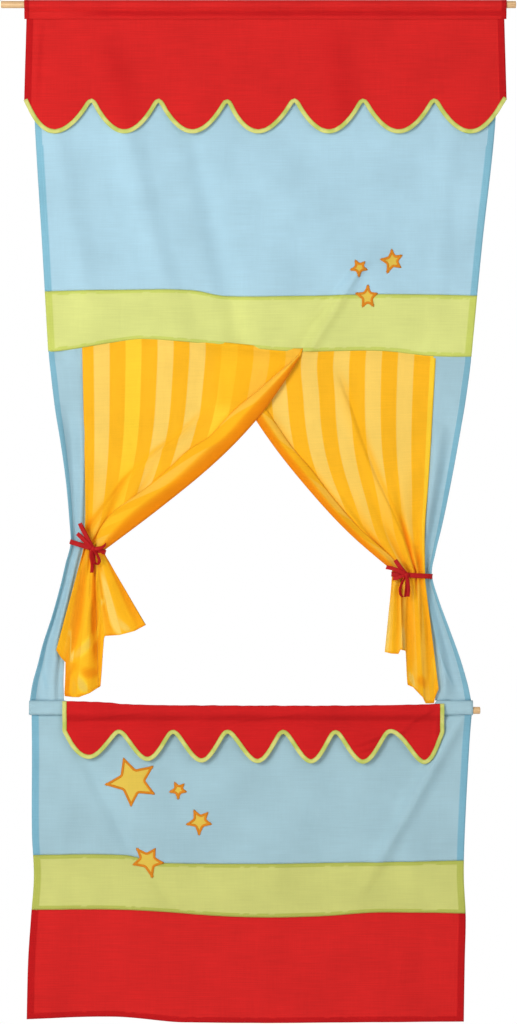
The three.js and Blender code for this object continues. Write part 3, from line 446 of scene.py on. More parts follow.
# Puts a finished piece on its body, with its material
def fit(piece, body, material, slot, *nodes):
    piece.data.materials.append(materials[material])
    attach(piece, body)
    if nodes:
        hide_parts(*nodes)
    return piece


# The hanging cloths: their edges, folds and seams

upperCloth = {
    "top": levels["stitch"],
    "height": levels["stitch"] - levels["casingAxis"],
    "edgeShares": [
        (0, -0.472, 0.499), (0.155, -0.464, 0.491), (0.33, -0.449, 0.464), (0.49, -0.436, 0.442),
    ],
    # across and down where a fold starts, the same where it ends, its width and depth
    "foldShares": [
        (-0.43, 0.15, -0.35, 0.42, 0.028, 0.55), (-0.285, 0.15, -0.18, 0.42, 0.028, 0.75),
        (-0.14, 0.16, -0.03, 0.5, 0.026, -0.75), (0.205, 0.37, 0.09, 0.5, 0.014, 0.72),
        (0.155, 0.4, 0.07, 0.5, 0.018, -0.35), (0.192, 0.375, 0.128, 0.425, 0.007, 0.3),
        (0.215, 0.365, 0.165, 0.41, 0.006, 0.22), (0.31, 0.2, 0.27, 0.42, 0.04, -0.35),
        (0.03, 0.2, 0.05, 0.4, 0.035, 0.25), (0.4, 0.12, 0.37, 0.44, 0.022, 0.35),
    ],
    "seed": 3.7,
}
lowerCloth = {
    "top": levels["casingAxis"],
    "height": levels["casingAxis"] - levels["bottomHem"],
    "edgeShares": [
        (0, -0.471, 0.443), (0.13, -0.47, 0.437), (0.4, -0.47, 0.428), (0.54, -0.466, 0.426),
        (0.67, -0.472, 0.43), (0.81, -0.478, 0.428), (1, -0.481, 0.426),
    ],
    "foldShares": [
        (0.42, 0.03, 0.25, 0.49, 0.019, 1.1), (-0.355, 0.18, -0.265, 0.46, 0.018, -0.55),
        (-0.225, 0.53, -0.165, 0.66, 0.018, -0.4), (0.05, 0.3, 0.02, 0.95, 0.05, 0.35),
        (-0.2, 0.6, -0.22, 1, 0.04, -0.3), (0.33, 0.3, 0.3, 0.9, 0.03, 0.3),
        (-0.4, 0.3, -0.42, 0.9, 0.025, 0.3),
    ],
    "seed": 9.2,
}
foldRiseShares = (-0.4, 0.2)
foldEndShares = (0.8, 1.4)


def clothEdge(sheet, z, column):
    return cloth["width"] * tableAt(sheet["edgeShares"], (sheet["top"] - z) / sheet["height"], column)


# Each seam: the height in mm of the band or panel beside it, then its wave: across, and up
# as a share of that height
seams = {
    "pocketFoot": (461, [(-0.5, 0), (0.5, 0)]),
    "upperBandTop": (93.5, [
        (-0.5, 0.02), (-0.3, 0.055), (-0.14, 0.05), (-0.07, -0.05), (0.1, -0.05), (0.27, -0.02),
        (0.5, -0.055),
    ]),
    "windowTop": (93.5, [
        (-0.5, -0.04), (-0.42, -0.04), (-0.3, 0.12), (-0.24, 0.18), (-0.1, 0.09), (0.07, -0.04),
        (0.25, -0.03), (0.37, -0.13), (0.5, -0.13),
    ]),
    "casingFoot": (241.5, [(-0.5, 0), (0.5, 0)]),
    "lowerBandTop": (88.5, [(-0.5, 0.08), (-0.28, 0.08), (-0.2, -0.07), (0.27, -0.05), (0.5, 0)]),
    "bottomPanelTop": (88.5, [
        (-0.5, 0.05), (-0.28, 0.05), (-0.05, -0.08), (0.12, -0.075), (0.25, 0.0), (0.5, -0.03),
    ]),
    "bottomHem": (180.5, [(-0.5, 0.01), (-0.3, 0.035), (-0.15, -0.018), (0.5, -0.008)]),
}


def seamAt(name, x):
    height, wave = seams[name]
    return levels[name] + height * mm * tableAt(wave, x / cloth["width"])


# How far the wrinkles raise a cloth: where each starts, across and up in mm, the same
# where it ends, its width and its height
def wrinkleRise(wrinkles, x, z):
    rise = 0.0
    for row in wrinkles:
        startX, startZ, endX, endZ, width, height = [value * mm for value in row]
        along = (z - startZ) / (endZ - startZ)
        shown = ease(along, -0.3, 0.3) * (1 - ease(along, 0.7, 1.3))
        rise += height * shown * hump(x - lerp(startX, endX, along), width)
    return rise


# The depth of a hanging cloth: its soft folds and the unevenness of cotton that was ironed
def clothDepth(sheet, x, z):
    across, down = x / cloth["width"], (sheet["top"] - z) / sheet["height"]
    depth = cloth["plane"]
    for startAcross, startDown, endAcross, endDown, width, height in sheet["foldShares"]:
        along = (down - startDown) / (endDown - startDown)
        crest = lerp(startAcross, endAcross, along)
        fade = ease(along, *foldRiseShares) * (1 - ease(along, *foldEndShares))
        depth -= cloth["foldDepth"] * height * fade * hump(across - crest, width)
    hang = ease(down, 0.02, 0.2)
    depth += 1.6 * mm * hang * ripple(x, z, 70 * mm, 420 * mm, sheet["seed"])
    depth += 0.55 * mm * hang * ripple(x, z, 24 * mm, 120 * mm, sheet["seed"] + 5)
    depth += 0.22 * mm * ripple(x, z, 9 * mm, 13 * mm, sheet["seed"] + 11)
    return depth


# Beside a seam the cloth dips back to it and puckers along it
def seamDepth(x, gap, seed):
    dip = cloth["seamDip"] * hump(gap, cloth["dipReach"])
    pucker = cloth["puckerDepth"] * ripple(x, 0, cloth["puckerLength"], 1, seed)
    return dip + pucker * hump(gap, cloth["puckerReach"])


# The flat panels of the two cloths, with the rows of stitches across each: how far the row
# lies from the seam

stitch = {"pitch": 3.2 * mm, "length": 2.6 * mm, "thickness": 0.45 * mm, "inset": 2.4 * mm}
bandHems = {"topHem": cloth["bandSeamWidth"], "footHem": cloth["bandSeamWidth"]}
panels = {
    "upperPanel": {
        "sheet": upperCloth, "top": "pocketFoot", "foot": "upperBandTop", "height": 461 * mm,
        "topHem": 0, "footHem": 0, "rows": {}, "flat": (0.79, 0.465),
        "fit": ("upper_cloth", "skyCotton", "sky_cotton"), "node": "upper_panel",
    },
    "upperBand": {
        "sheet": upperCloth, "top": "upperBandTop", "foot": "windowTop", "height": 93.5 * mm,
        **bandHems, "rows": {"Top": stitch["inset"], "Foot": stitch["inset"]}, "flat": (0.735, 0.105),
        "fit": ("upper_cloth", "limeCotton", "lime_cotton"), "node": "upper_band",
    },
    "lowerPanel": {
        "sheet": lowerCloth, "top": "casingFoot", "foot": "lowerBandTop", "height": 241.5 * mm,
        "topHem": 0, "footHem": 0, "rows": {"Top": stitch["inset"]}, "flat": (0.745, 0.245),
        "fit": ("lower_cloth", "shadedSkyCotton", "sky_cotton"), "node": "lower_panel",
    },
    "lowerBand": {
        "sheet": lowerCloth, "top": "lowerBandTop", "foot": "bottomPanelTop", "height": 88.5 * mm,
        **bandHems, "rows": {"Top": stitch["inset"], "Foot": stitch["inset"]}, "flat": (0.73, 0.1),
        "fit": ("lower_cloth", "shadedLimeCotton", "lime_cotton"), "node": "lower_band",
    },
    "bottomPanel": {
        "sheet": lowerCloth, "top": "bottomPanelTop", "foot": "bottomHem", "height": 180.5 * mm,
        "topHem": 0, "footHem": 9 * mm, "rows": {"Foot": 8 * mm}, "flat": (0.74, 0.19),
        "fit": ("lower_cloth", "redCotton", "red_cotton"), "node": "bottom_panel",
    },
}
puckerSeeds = {"top": 2.0, "foot": 4.0}


def makePanel(name, panel):
    sheet, top, foot, height = panel["sheet"], panel["top"], panel["foot"], panel["height"]

    def place(u, v):
        level = lerp(levels[top], levels[foot], v)
        x = lerp(clothEdge(sheet, level, 1), clothEdge(sheet, level, 2), u)
        z = lerp(seamAt(top, x), seamAt(foot, x), v)
        left, right = clothEdge(sheet, z, 1), clothEdge(sheet, z, 2)
        x = lerp(left, right, u)
        wavy = ripple(x, 0, 15 * mm, 1, sheet["seed"]) * 0.8 * mm
        toTop, toFoot = v * height, (1 - v) * height
        y = clothDepth(sheet, x, z)
        if top != "pocketFoot":
            y += seamDepth(x, toTop, puckerSeeds["top"])
        if foot != "bottomHem":
            y += seamDepth(x, toFoot, puckerSeeds["foot"])
        layersAndShade = (
            inHem(min(x - left, right - x), cloth["hemWidth"])
            or inHem(toTop + wavy, panel["topHem"])
            or inHem(toFoot + wavy, panel["footHem"])
        )
        return Vector((x, y, z)), (x, z), float(layersAndShade)

    columns = stations(cloth["width"], cloth["cell"], cloth["hemWidth"], cloth["hemWidth"])
    rows = stations(height, cloth["cell"], panel["topHem"], panel["footHem"])
    return makeSheet(name, columns, rows, place)


for name, panel in panels.items():
    fit(makePanel(f"{name}Cloth", panel), *panel["fit"], panel["node"])
print("panels done")


# A row of machine stitches: short threads, end to end along a seam
def makeStitches(name, points):
    bm = bmesh.new()
    thread = [stitch["length"] / 2, stitch["thickness"] / 2, stitch["thickness"] / 2, 1]
    for before, after in zip(points, points[1:]):
        heading = (after - before).to_track_quat("X", "Z").to_matrix().to_4x4()
        place = Matrix.Translation((before + after) / 2) @ heading @ Matrix.Diagonal(thread)
        bmesh.ops.create_icosphere(bm, subdivisions=1, radius=1.0, matrix=place)
    return newPiece(name, bm, frontView=True)


# A row across a panel, so far above its foot or below its top
def rowAcross(panel, inset, edge):
    sheet, seam = panel["sheet"], panel[edge]
    left, right = clothEdge(sheet, levels[seam], 1) + 3 * mm, clothEdge(sheet, levels[seam], 2) - 3 * mm
    count = round((right - left) / stitch["pitch"])
    points = []
    for share in evenly(count):
        x = lerp(left, right, share)
        z = seamAt(seam, x) + (-inset if edge == "top" else inset)
        dip = 0.0 if seam == "bottomHem" else seamDepth(x, inset, puckerSeeds[edge])
        points.append(Vector((x, clothDepth(sheet, x, z) + dip - cloth["thickness"], z)))
    return points


# A row down the hem at one side of a panel
def rowDown(panel, column):
    sheet, inset = panel["sheet"], cloth["hemWidth"] - stitch["inset"]
    points = []
    for share in evenly(round(panel["height"] / stitch["pitch"]))[1:-1]:
        z = lerp(levels[panel["top"]], levels[panel["foot"]], share)
        x = clothEdge(sheet, z, column) + (inset if column == 1 else -inset)
        points.append(Vector((x, clothDepth(sheet, x, z) - cloth["thickness"], z)))
    return points


for panelName, panel in panels.items():
    rows = {side: rowAcross(panel, inset, side.lower()) for side, inset in panel["rows"].items()}
    rows.update({"Left": rowDown(panel, 1), "Right": rowDown(panel, 2)})
    [
        fit(makeStitches(f"{panelName}{side}Stitches", points), *panel["fit"])
        for side, points in rows.items()
    ]
print("stitches done")


# Rods: a profile with rounded ends, turned about the rod's axis

def makeRod(name, node, chamfer=1.2 * mm, sides=48, ringGap=20 * mm):
    low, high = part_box(node)
    middle, radius = (low + high) / 2, (high.z - low.z) / 2
    bm = bmesh.new()
    profile = [
        (low.x, 0), (low.x, radius - chamfer),
        (low.x + 0.35 * chamfer, radius - 0.35 * chamfer), (low.x + chamfer, radius),
    ]
    rings = evenly(round((high.x - low.x) / ringGap))[1:-1]
    profile += [(lerp(low.x + chamfer, high.x - chamfer, share), radius) for share in rings]
    profile += [(low.x + high.x - x, reach) for x, reach in profile[3::-1]]
    line = [bm.verts.new((x, middle.y, middle.z + reach)) for x, reach in profile]
    edges = [bm.edges.new(pair) for pair in zip(line, line[1:])]
    bmesh.ops.spin(
        bm, geom=line + edges, cent=(0, middle.y, middle.z), axis=(1, 0, 0), angle=2 * math.pi,
        steps=sides, use_merge=True,
    )
    bmesh.ops.remove_doubles(bm, verts=bm.verts, dist=0.01 * mm)
    bmesh.ops.recalc_face_normals(bm, faces=bm.faces)
    return newPiece(name, bm)


topRod = fit(makeRod("topDowel", "top_rod"), "top_rod", "birch", "birch", "top_rod")
middleRod = fit(makeRod("middleDowel", "middle_rod"), "middle_rod", "birch", "birch", "middle_rod")


# The pocket: cloth laid over the rod and stitched to itself under it

pocket = {
    "left": 11.5 * mm - 402.5 * mm,
    # its front face down from the top of the rod, in mm: height, how far forward
    "profile": [
        (7.4, 0.0), (6.9, 2.8), (4.4, 5.9), (0.5, 7.3), (-4.2, 6.5), (-7.2, 2.9), (-9.4, 1.1),
        (-12.4, 3.1), (-16.8, 2.8), (-20.7, 1.1), (-24.0, 1.5),
    ],
    "crease": -15.5 * mm,
    "creaseWidth": 3.6 * mm,
    "flatLength": 66 * mm,
    "endHem": 8 * mm,
    "cell": 3.2 * mm,
    "ringCount": 44,
    "seamShares": {"pocketFrontStitches": 0.05, "pocketBackStitches": 0.95},
}


# u runs along the rod, v from the front foot over the rod to the back foot
def pocketPoint(u, v):
    x = pocket["left"] + u * cloth["width"]
    side = -1 if v < 0.5 else 1
    z, forward = splineAt(pocket["profile"], abs(2 * v - 1)) * mm
    loose = ease(-z, 0.0, 9 * mm) * (1 - ease(-z, 15 * mm, 20 * mm))
    slack = 1.2 * mm * ripple(x, z, 38 * mm, 15 * mm, 21.0 + side)
    fine = 0.5 * mm * ripple(x, z, 12 * mm, 7 * mm, 25.0 + side)
    forward += (loose + 0.25) * (slack + fine) * (forward > 0.4 * mm)
    nearSeam = hump(z - levels["stitch"], 3 * mm)
    pucker = 0.3 * mm * nearSeam * ripple(x, 0, 9 * mm, 1, 30.0)
    return Vector((x, side * (max(forward, 0.0) + pucker), z))


def makePocket():
    def place(u, v):
        point = pocketPoint(u, v)
        # its two faces lie together in the crease under the rod, and a shade is painted there
        uneven = 1.2 + 0.8 * ripple(point.x, 0, 90 * mm, 1, 33.0)
        crease = hump(point.z - pocket["crease"], pocket["creaseWidth"])
        paintedCreaseShade = min(1.0, uneven * ease(u, 0.04, 0.2) * crease)
        atEnd = inHem(min(u, 1 - u) * cloth["width"], pocket["endHem"])
        return point, (point.x, v * pocket["flatLength"]), 1.0 if atEnd else paintedCreaseShade

    columns = stations(cloth["width"], pocket["cell"], pocket["endHem"], pocket["endHem"])
    return makeSheet("rodPocketCloth", columns, stations(1.0, 1 / pocket["ringCount"]), place)


# The seam under the rod goes through both faces: a row of stitches at a share round the pocket
def pocketSeam(share):
    lift = Vector((0, math.copysign(0.55 * cloth["thickness"], share - 0.5), 0))
    shares = evenly(round(cloth["width"] / stitch["pitch"]))[1:-1]
    return [pocketPoint(u, share) + lift for u in shares]


rodPocket = fit(makePocket(), "rod_pocket", "redCotton", "red_cotton", "rod_pocket")
pocketStitches = [
    fit(makeStitches(name, pocketSeam(share)), "rod_pocket", "redCotton", "red_cotton")
    for name, share in pocket["seamShares"].items()
]


# Scalloped cloths: the valance and the pelmet

scallops = 7
tape = {"cover": 6.0 * mm, "thickness": 0.45 * mm, "step": 2.2 * mm, "endSteps": 12}
scalloped = {"cell": (3.0 * mm, 3.4 * mm), "creaseReach": 5.5 * mm, "wrinkleShade": 0.5 / (1.5 * mm)}

valance = {
    "left": pocket["left"],
    "width": cloth["width"],
    "top": [(-0.5, levels["pocketFoot"]), (0.5, levels["pocketFoot"])],
    "cusp": -157.7 * mm,
    "endCusp": -152.5 * mm,
    "depth": 57.5 * mm,
    "wrinkles": [
        (-366, -40, -372, -150, 5, 1.0), (-250, -60, -215, -200, 22, 1.2),
        (120, -40, 150, -210, 26, 1.2),
    ],
    # along the edge: the cusps, and in each scallop where it hangs lowest
    "cuspShares": (0, 0.1396, 0.2787, 0.4214, 0.5602, 0.7025, 0.85, 1),
    "lowestShares": (0.45, 0.49, 0.49, 0.46, 0.5, 0.5, 0.5),
    "depthShares": [(0, 1.0), (1, 1.0)],
    "sideSlant": 3.5 * mm,
    "roundness": 0.8,
    "endRoundness": 0.8,
    "rounding": 3.2 * mm,
    "plane": -0.75 * mm,
    "standOff": 4.2 * mm,
    "curl": 3.0 * mm,
    "fall": 130 * mm,
    "seed": 40.0,
    "unevenTop": 0.0,
    "sideHem": 11 * mm,
    "paintedCreaseShade": 0.0,
    "paintedCreaseLevel": 0.0,
}
pelmet = {
    "left": -8.6 * mm - 317.5 * mm,
    "width": 635 * mm,
    # the top edge hangs over the middle rod and is held up at its two ends
    "top": [
        (-0.5, -1162.6 * mm), (-0.42, -1163.6 * mm), (-0.3, -1168.6 * mm), (-0.1, -1169.8 * mm),
        (0.15, -1170.2 * mm), (0.35, -1169.4 * mm), (0.5, -1167.0 * mm),
    ],
    "cusp": -1214.2 * mm,
    "endCusp": -1205.2 * mm,
    "depth": 53 * mm,
    "wrinkles": [
        (161, -1236, 222, -1214, 9, 2.0), (168, -1246, 196, -1236, 8, 1.5),
        (205, -1240, 250, -1204, 5, 1.6), (250, -1200, 288, -1176, 4.5, 2.0),
        (292, -1252, 301, -1178, 4.5, 1.6), (-318, -1196, -190, -1180, 18, 1.4),
        (-60, -1200, 60, -1184, 16, 1.0),
    ],
    "cuspShares": (0, 0.1468, 0.288, 0.4308, 0.5768, 0.7149, 0.8561, 1),
    "lowestShares": (0.46, 0.53, 0.53, 0.55, 0.54, 0.52, 0.64),
    "depthShares": [(0, 0.8), (0.2, 0.89), (0.36, 0.945), (0.6, 0.97), (1, 1.0)],
    "sideSlant": 0,
    "roundness": 1.2,
    "endRoundness": 0.75,
    "rounding": 3.4 * mm,
    "plane": -8.4 * mm,
    "standOff": 0.8 * mm,
    "curl": 2.2 * mm,
    "fall": 45 * mm,
    "seed": 52.0,
    "unevenTop": 0.9 * mm,
    "sideHem": 0,
    # in the crease under the rod it is pressed to the casing, and a shade is painted there
    "paintedCreaseShade": 1.7,
    "paintedCreaseLevel": -1190.5 * mm,
}


# The scallop at a place along the edge, and how far through it that is: 0.5 is its lowest
def scallopAt(piece, share):
    cusps = piece["cuspShares"]
    scallop = next(k for k in range(scallops) if share <= cusps[k + 1] or k == scallops - 1)
    within = (share - cusps[scallop]) / (cusps[scallop + 1] - cusps[scallop])
    lean = math.log(0.5) / math.log(piece["lowestShares"][scallop])
    return scallop, min(max(within, 0.0), 1.0) ** lean


def rawScallopEdge(piece, share):
    scallop, within = scallopAt(piece, share)
    atEnd = (scallop == 0 and within < 0.5) or (scallop == scallops - 1 and within > 0.5)
    start = piece["endCusp"] if atEnd else piece["cusp"]
    drop = math.sin(math.pi * within) ** (piece["endRoundness"] if atEnd else piece["roundness"])
    depth = piece["depth"] * tableAt(piece["depthShares"], share)
    return lerp(start, piece["cusp"] - depth, drop)


# The scalloped edge, with its cusps rounded off as the tape turns round them
def scallopEdge(piece, share):
    total, weight = 0.0, 0.0
    for k in range(-4, 5):
        nearby = share + k * 0.5 * piece["rounding"] / piece["width"]
        if 0 <= nearby <= 1:
            part = hump(k, 2.6)
            total += part * rawScallopEdge(piece, nearby)
            weight += part
    return total / weight


middleRodLow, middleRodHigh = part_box("middle_rod")
rodBulge = {"height": 3.6 * mm, "reach": 9 * mm, "crease": 3.2 * mm, "under": 19 * mm, "width": 6.5 * mm}


def scallopDepth(piece, x, z):
    share = min(max((x - piece["left"]) / piece["width"], 0.0), 1.0)
    wave = (1 - math.cos(2 * math.pi * scallopAt(piece, share)[1])) / 2
    fall = ease((tableAt(piece["top"], share - 0.5) - z) / piece["fall"])
    y = piece["plane"] - fall * (piece["standOff"] + piece["curl"] * wave)
    y -= 0.9 * mm * fall * ripple(x, z, 60 * mm, 260 * mm, piece["seed"])
    y -= 0.25 * mm * ripple(x, z, 14 * mm, 30 * mm, piece["seed"] + 3)
    y -= 0.15 * mm * ripple(x, z, 7 * mm, 8 * mm, piece["seed"] + 6)
    y -= wrinkleRise(piece["wrinkles"], x, z)
    if piece is pelmet:
        # over the middle rod it bulges, with a crease under the rod
        above = z - (middleRodLow.z + middleRodHigh.z) / 2
        y += rodBulge["crease"] * hump(above + rodBulge["under"], rodBulge["width"])
        y -= rodBulge["height"] * hump(above, rodBulge["reach"])
    return y


def makeScalloped(name, piece):
    def place(u, v):
        x = piece["left"] + u * piece["width"] + (1 - 2 * u) * (1 - v) * piece["sideSlant"]
        top = tableAt(piece["top"], u - 0.5)
        top += piece["unevenTop"] * ripple(x, 0, 17 * mm, 1, piece["seed"] + 12)
        z = lerp(top, scallopEdge(piece, u), v)
        point = Vector((x, scallopDepth(piece, x, z), z))
        if inHem(min(u, 1 - u) * piece["width"], piece["sideHem"]):
            return point, (x, z), 1.0
        # painted shade in the crease where it is pressed to the cloth behind it, and just right of and
        # below each wrinkle
        uneven = 0.6 + 0.5 * ripple(x, 0, 70 * mm, 1, piece["seed"] + 15)
        crease = hump(z - piece["paintedCreaseLevel"], scalloped["creaseReach"])
        beside = wrinkleRise(piece["wrinkles"], x - 4 * mm, z + 2 * mm)
        shade = piece["paintedCreaseShade"] * uneven * crease + scalloped["wrinkleShade"] * beside
        return point, (x, z), max(0.0, min(1.0, shade))

    height = piece["depth"] + piece["top"][0][1] - piece["cusp"]
    columns = stations(piece["width"], scalloped["cell"][0], piece["sideHem"], piece["sideHem"])
    return makeSheet(name, columns, stations(height, scalloped["cell"][1]), place)


# The tape's path along the edge, up the ends too where the ends are bound
def tapePath(piece, boundEnds):
    edge = [
        Vector((piece["left"] + share * piece["width"], 0, scallopEdge(piece, share)))
        for share in evenly(round(piece["width"] / tape["step"]))
    ]
    if not boundEnds:
        return edge
    leftTop, rightTop = [
        Vector((edge[end].x, 0, tableAt(piece["top"], side))) for end, side in ((0, -0.5), (-1, 0.5))
    ]
    shares = evenly(tape["endSteps"])
    up = [leftTop.lerp(edge[0], share) for share in shares[:-1]]
    down = [edge[-1].lerp(rightTop, share) for share in shares[1:]]
    return up + edge + down


# The tape's section, from its front edge round the fold to its back edge:
# how far in from the cloth's edge, and how far in front of the cloth
tapeSection = [
    (1.0, 0.35), (0.96, 0.75), (0.7, 0.95), (0.35, 1.0), (0.05, 0.95), (-0.12, 0.6), (-0.16, 0.0),
    (-0.12, -0.6), (0.05, -0.95), (0.35, -1.0), (0.7, -0.95), (1.0, -0.6),
]


def makeTape(name, piece, boundEnds):
    path = tapePath(piece, boundEnds)
    lengths = lengthsAlong(path)
    last, lastRow = len(path) - 1, len(tapeSection) - 1
    halfDepth = cloth["thickness"] + tape["thickness"]

    def place(u, v):
        k, s = round(u * last), round(v * lastRow)
        heading = (path[min(k + 2, last)] - path[max(k - 2, 0)]).normalized()
        inward = Vector((-heading.z, 0, heading.x))
        reach, front = tapeSection[s]
        pucker = ripple(lengths[k], 0, 7 * mm, 1, piece["seed"] + 9 + (front > 0))
        point = path[k] + inward * (reach * tape["cover"] * (1 + 0.06 * pucker))
        inCloth = path[k] + inward * max(reach, 0.0) * tape["cover"]
        point.y = scallopDepth(piece, inCloth.x, inCloth.z) - front * (halfDepth + 0.12 * mm * pucker)
        # its front edge is coloured greener
        return point, (lengths[k], v * 2.4 * tape["cover"]), 0.7 if s in (0, 1) else 0.0

    return makeSheet(name, evenly(last), evenly(lastRow), place, tape["thickness"] / 2)


valanceCloth = fit(makeScalloped("valanceCloth", valance), "valance", "redCotton", "red_cotton", "valance")
valanceTape = fit(
    makeTape("valanceTape", valance, False), "valance", "limeTape", "lime_tape", "valance_binding"
)
pelmetCloth = fit(makeScalloped("pelmetCloth", pelmet), "pelmet", "redTrim", "red_cotton", "pelmet")
pelmetTape = fit(
    makeTape("pelmetTape", pelmet, True), "pelmet", "limeTape", "lime_tape", "pelmet_binding"
)
print("pocket, valance and pelmet done")


# The casing: a tunnel of cloth round the middle rod, sewn shut at its left end. Beyond the
# pelmet's ends it is held up by the side strips.

casing = {
    "depth": 14.4 * mm,
    "endRound": 3.2 * mm,
    "beyondEnd": 1.8 * mm,
    "overRod": 0.8 * mm,
    "heldLeft": (59 * mm, 76 * mm),
    "heldRight": (63 * mm, 66 * mm),
    "square": 0.72,  # flatter in front than a circle
    "cell": 5 * mm,
    "ringCount": 36,
    "flatLength": 66 * mm,
}


def makeCasing():
    low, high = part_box("rod_casing")
    leftEnd = low.x - casing["beyondEnd"]
    length = high.x - leftEnd

    # u runs along the casing, v round it from the back of its foot over the front
    def place(u, v):
        x = lerp(leftEnd, high.x, u)
        leftEdge, rightEdge = x - leftEnd, high.x - x
        held = 1 - ease(leftEdge, *casing["heldLeft"]) * ease(rightEdge, *casing["heldRight"])
        top = lerp(middleRodHigh.z + casing["overRod"], high.z, held)
        toEnd = max(0.0, 1 - leftEdge / casing["endRound"])
        shut = math.sqrt(1 - toEnd * toEnd)
        halfDepth = casing["depth"] / 2 * lerp(0.04, 1.0, shut) * lerp(0.94, 1.0, held)
        halfHeight = (top - low.z) / 2 * lerp(0.9, 1.0, shut)
        turn = 2 * math.pi * v
        forward, upward = math.sin(turn), -math.cos(turn)
        y = cloth["plane"] - halfDepth * math.copysign(abs(forward) ** casing["square"], forward)
        z = (top + low.z) / 2
        z += halfHeight * math.copysign(abs(upward) ** casing["square"], upward)
        y += 0.7 * mm * ripple(x, z, 26 * mm, 9 * mm, 61.0) * abs(forward)
        nearFoot = z < low.z + 4 * mm and forward < 0
        return Vector((x, y, z)), (x, v * casing["flatLength"]), 0.8 if nearFoot else 0.0

    closeToEnd = [k * 0.5 * mm / length for k in range(1, 8)]
    columns = sorted(stations(length, casing["cell"]) + closeToEnd)
    return makeSheet("casingCloth", columns, evenly(casing["ringCount"]), place, closeAround=True)


casingCloth = fit(makeCasing(), "lower_cloth", "shadedSkyCotton", "sky_cotton", "rod_casing")
print("casing done")


# The stage window: side strips, curtains and ties

def windowPoint(across, down):
    return Vector((across * cloth["width"], levels["windowTop"] - down * windowHeight))


# down the window, the strip's outer and inner edge across the cloth; its creases in mm:
# where each starts, across and up, the same where it ends, its width and its height
strips = {
    "left": {
        "shares": [
            (0, -0.436, -0.362), (0.16, -0.423, -0.358), (0.27, -0.41, -0.358), (0.38, -0.399, -0.36),
            (0.49, -0.392, -0.363), (0.555, -0.39, -0.367), (0.61, -0.4, -0.377),
            (0.67, -0.41, -0.387), (0.76, -0.428, -0.401), (0.84, -0.447, -0.412),
            (0.895, -0.457, -0.41), (0.95, -0.468, -0.407), (1, -0.474, -0.406),
        ],
        "creases": [(-338, -905, -334, -960, 3.5, -1.4), (-372, -1085, -352, -1140, 4, 1.2)],
        "tieDown": 0.555,
        "seed": 91.0,
    },
    "right": {
        "shares": [
            (0, 0.442, 0.364), (0.16, 0.428, 0.358), (0.27, 0.414, 0.353), (0.38, 0.399, 0.347),
            (0.5, 0.381, 0.341), (0.58, 0.367, 0.338), (0.64, 0.3595, 0.335), (0.71, 0.373, 0.347),
            (0.8, 0.397, 0.362), (0.88, 0.418, 0.371), (0.95, 0.433, 0.3705), (1, 0.441, 0.3686),
        ],
        "creases": [
            # the first is a hollow whose painted shade stands for the shadow that the tail casts on the
            # strip
            (282, -985, 303, -1085, 6, -2.4), (298, -1078, 322, -1132, 3, 1.7),
            (316, -1010, 330, -1060, 4, 1.0),
        ],
        "tieDown": 0.64,
        "seed": 94.0,
    },
}


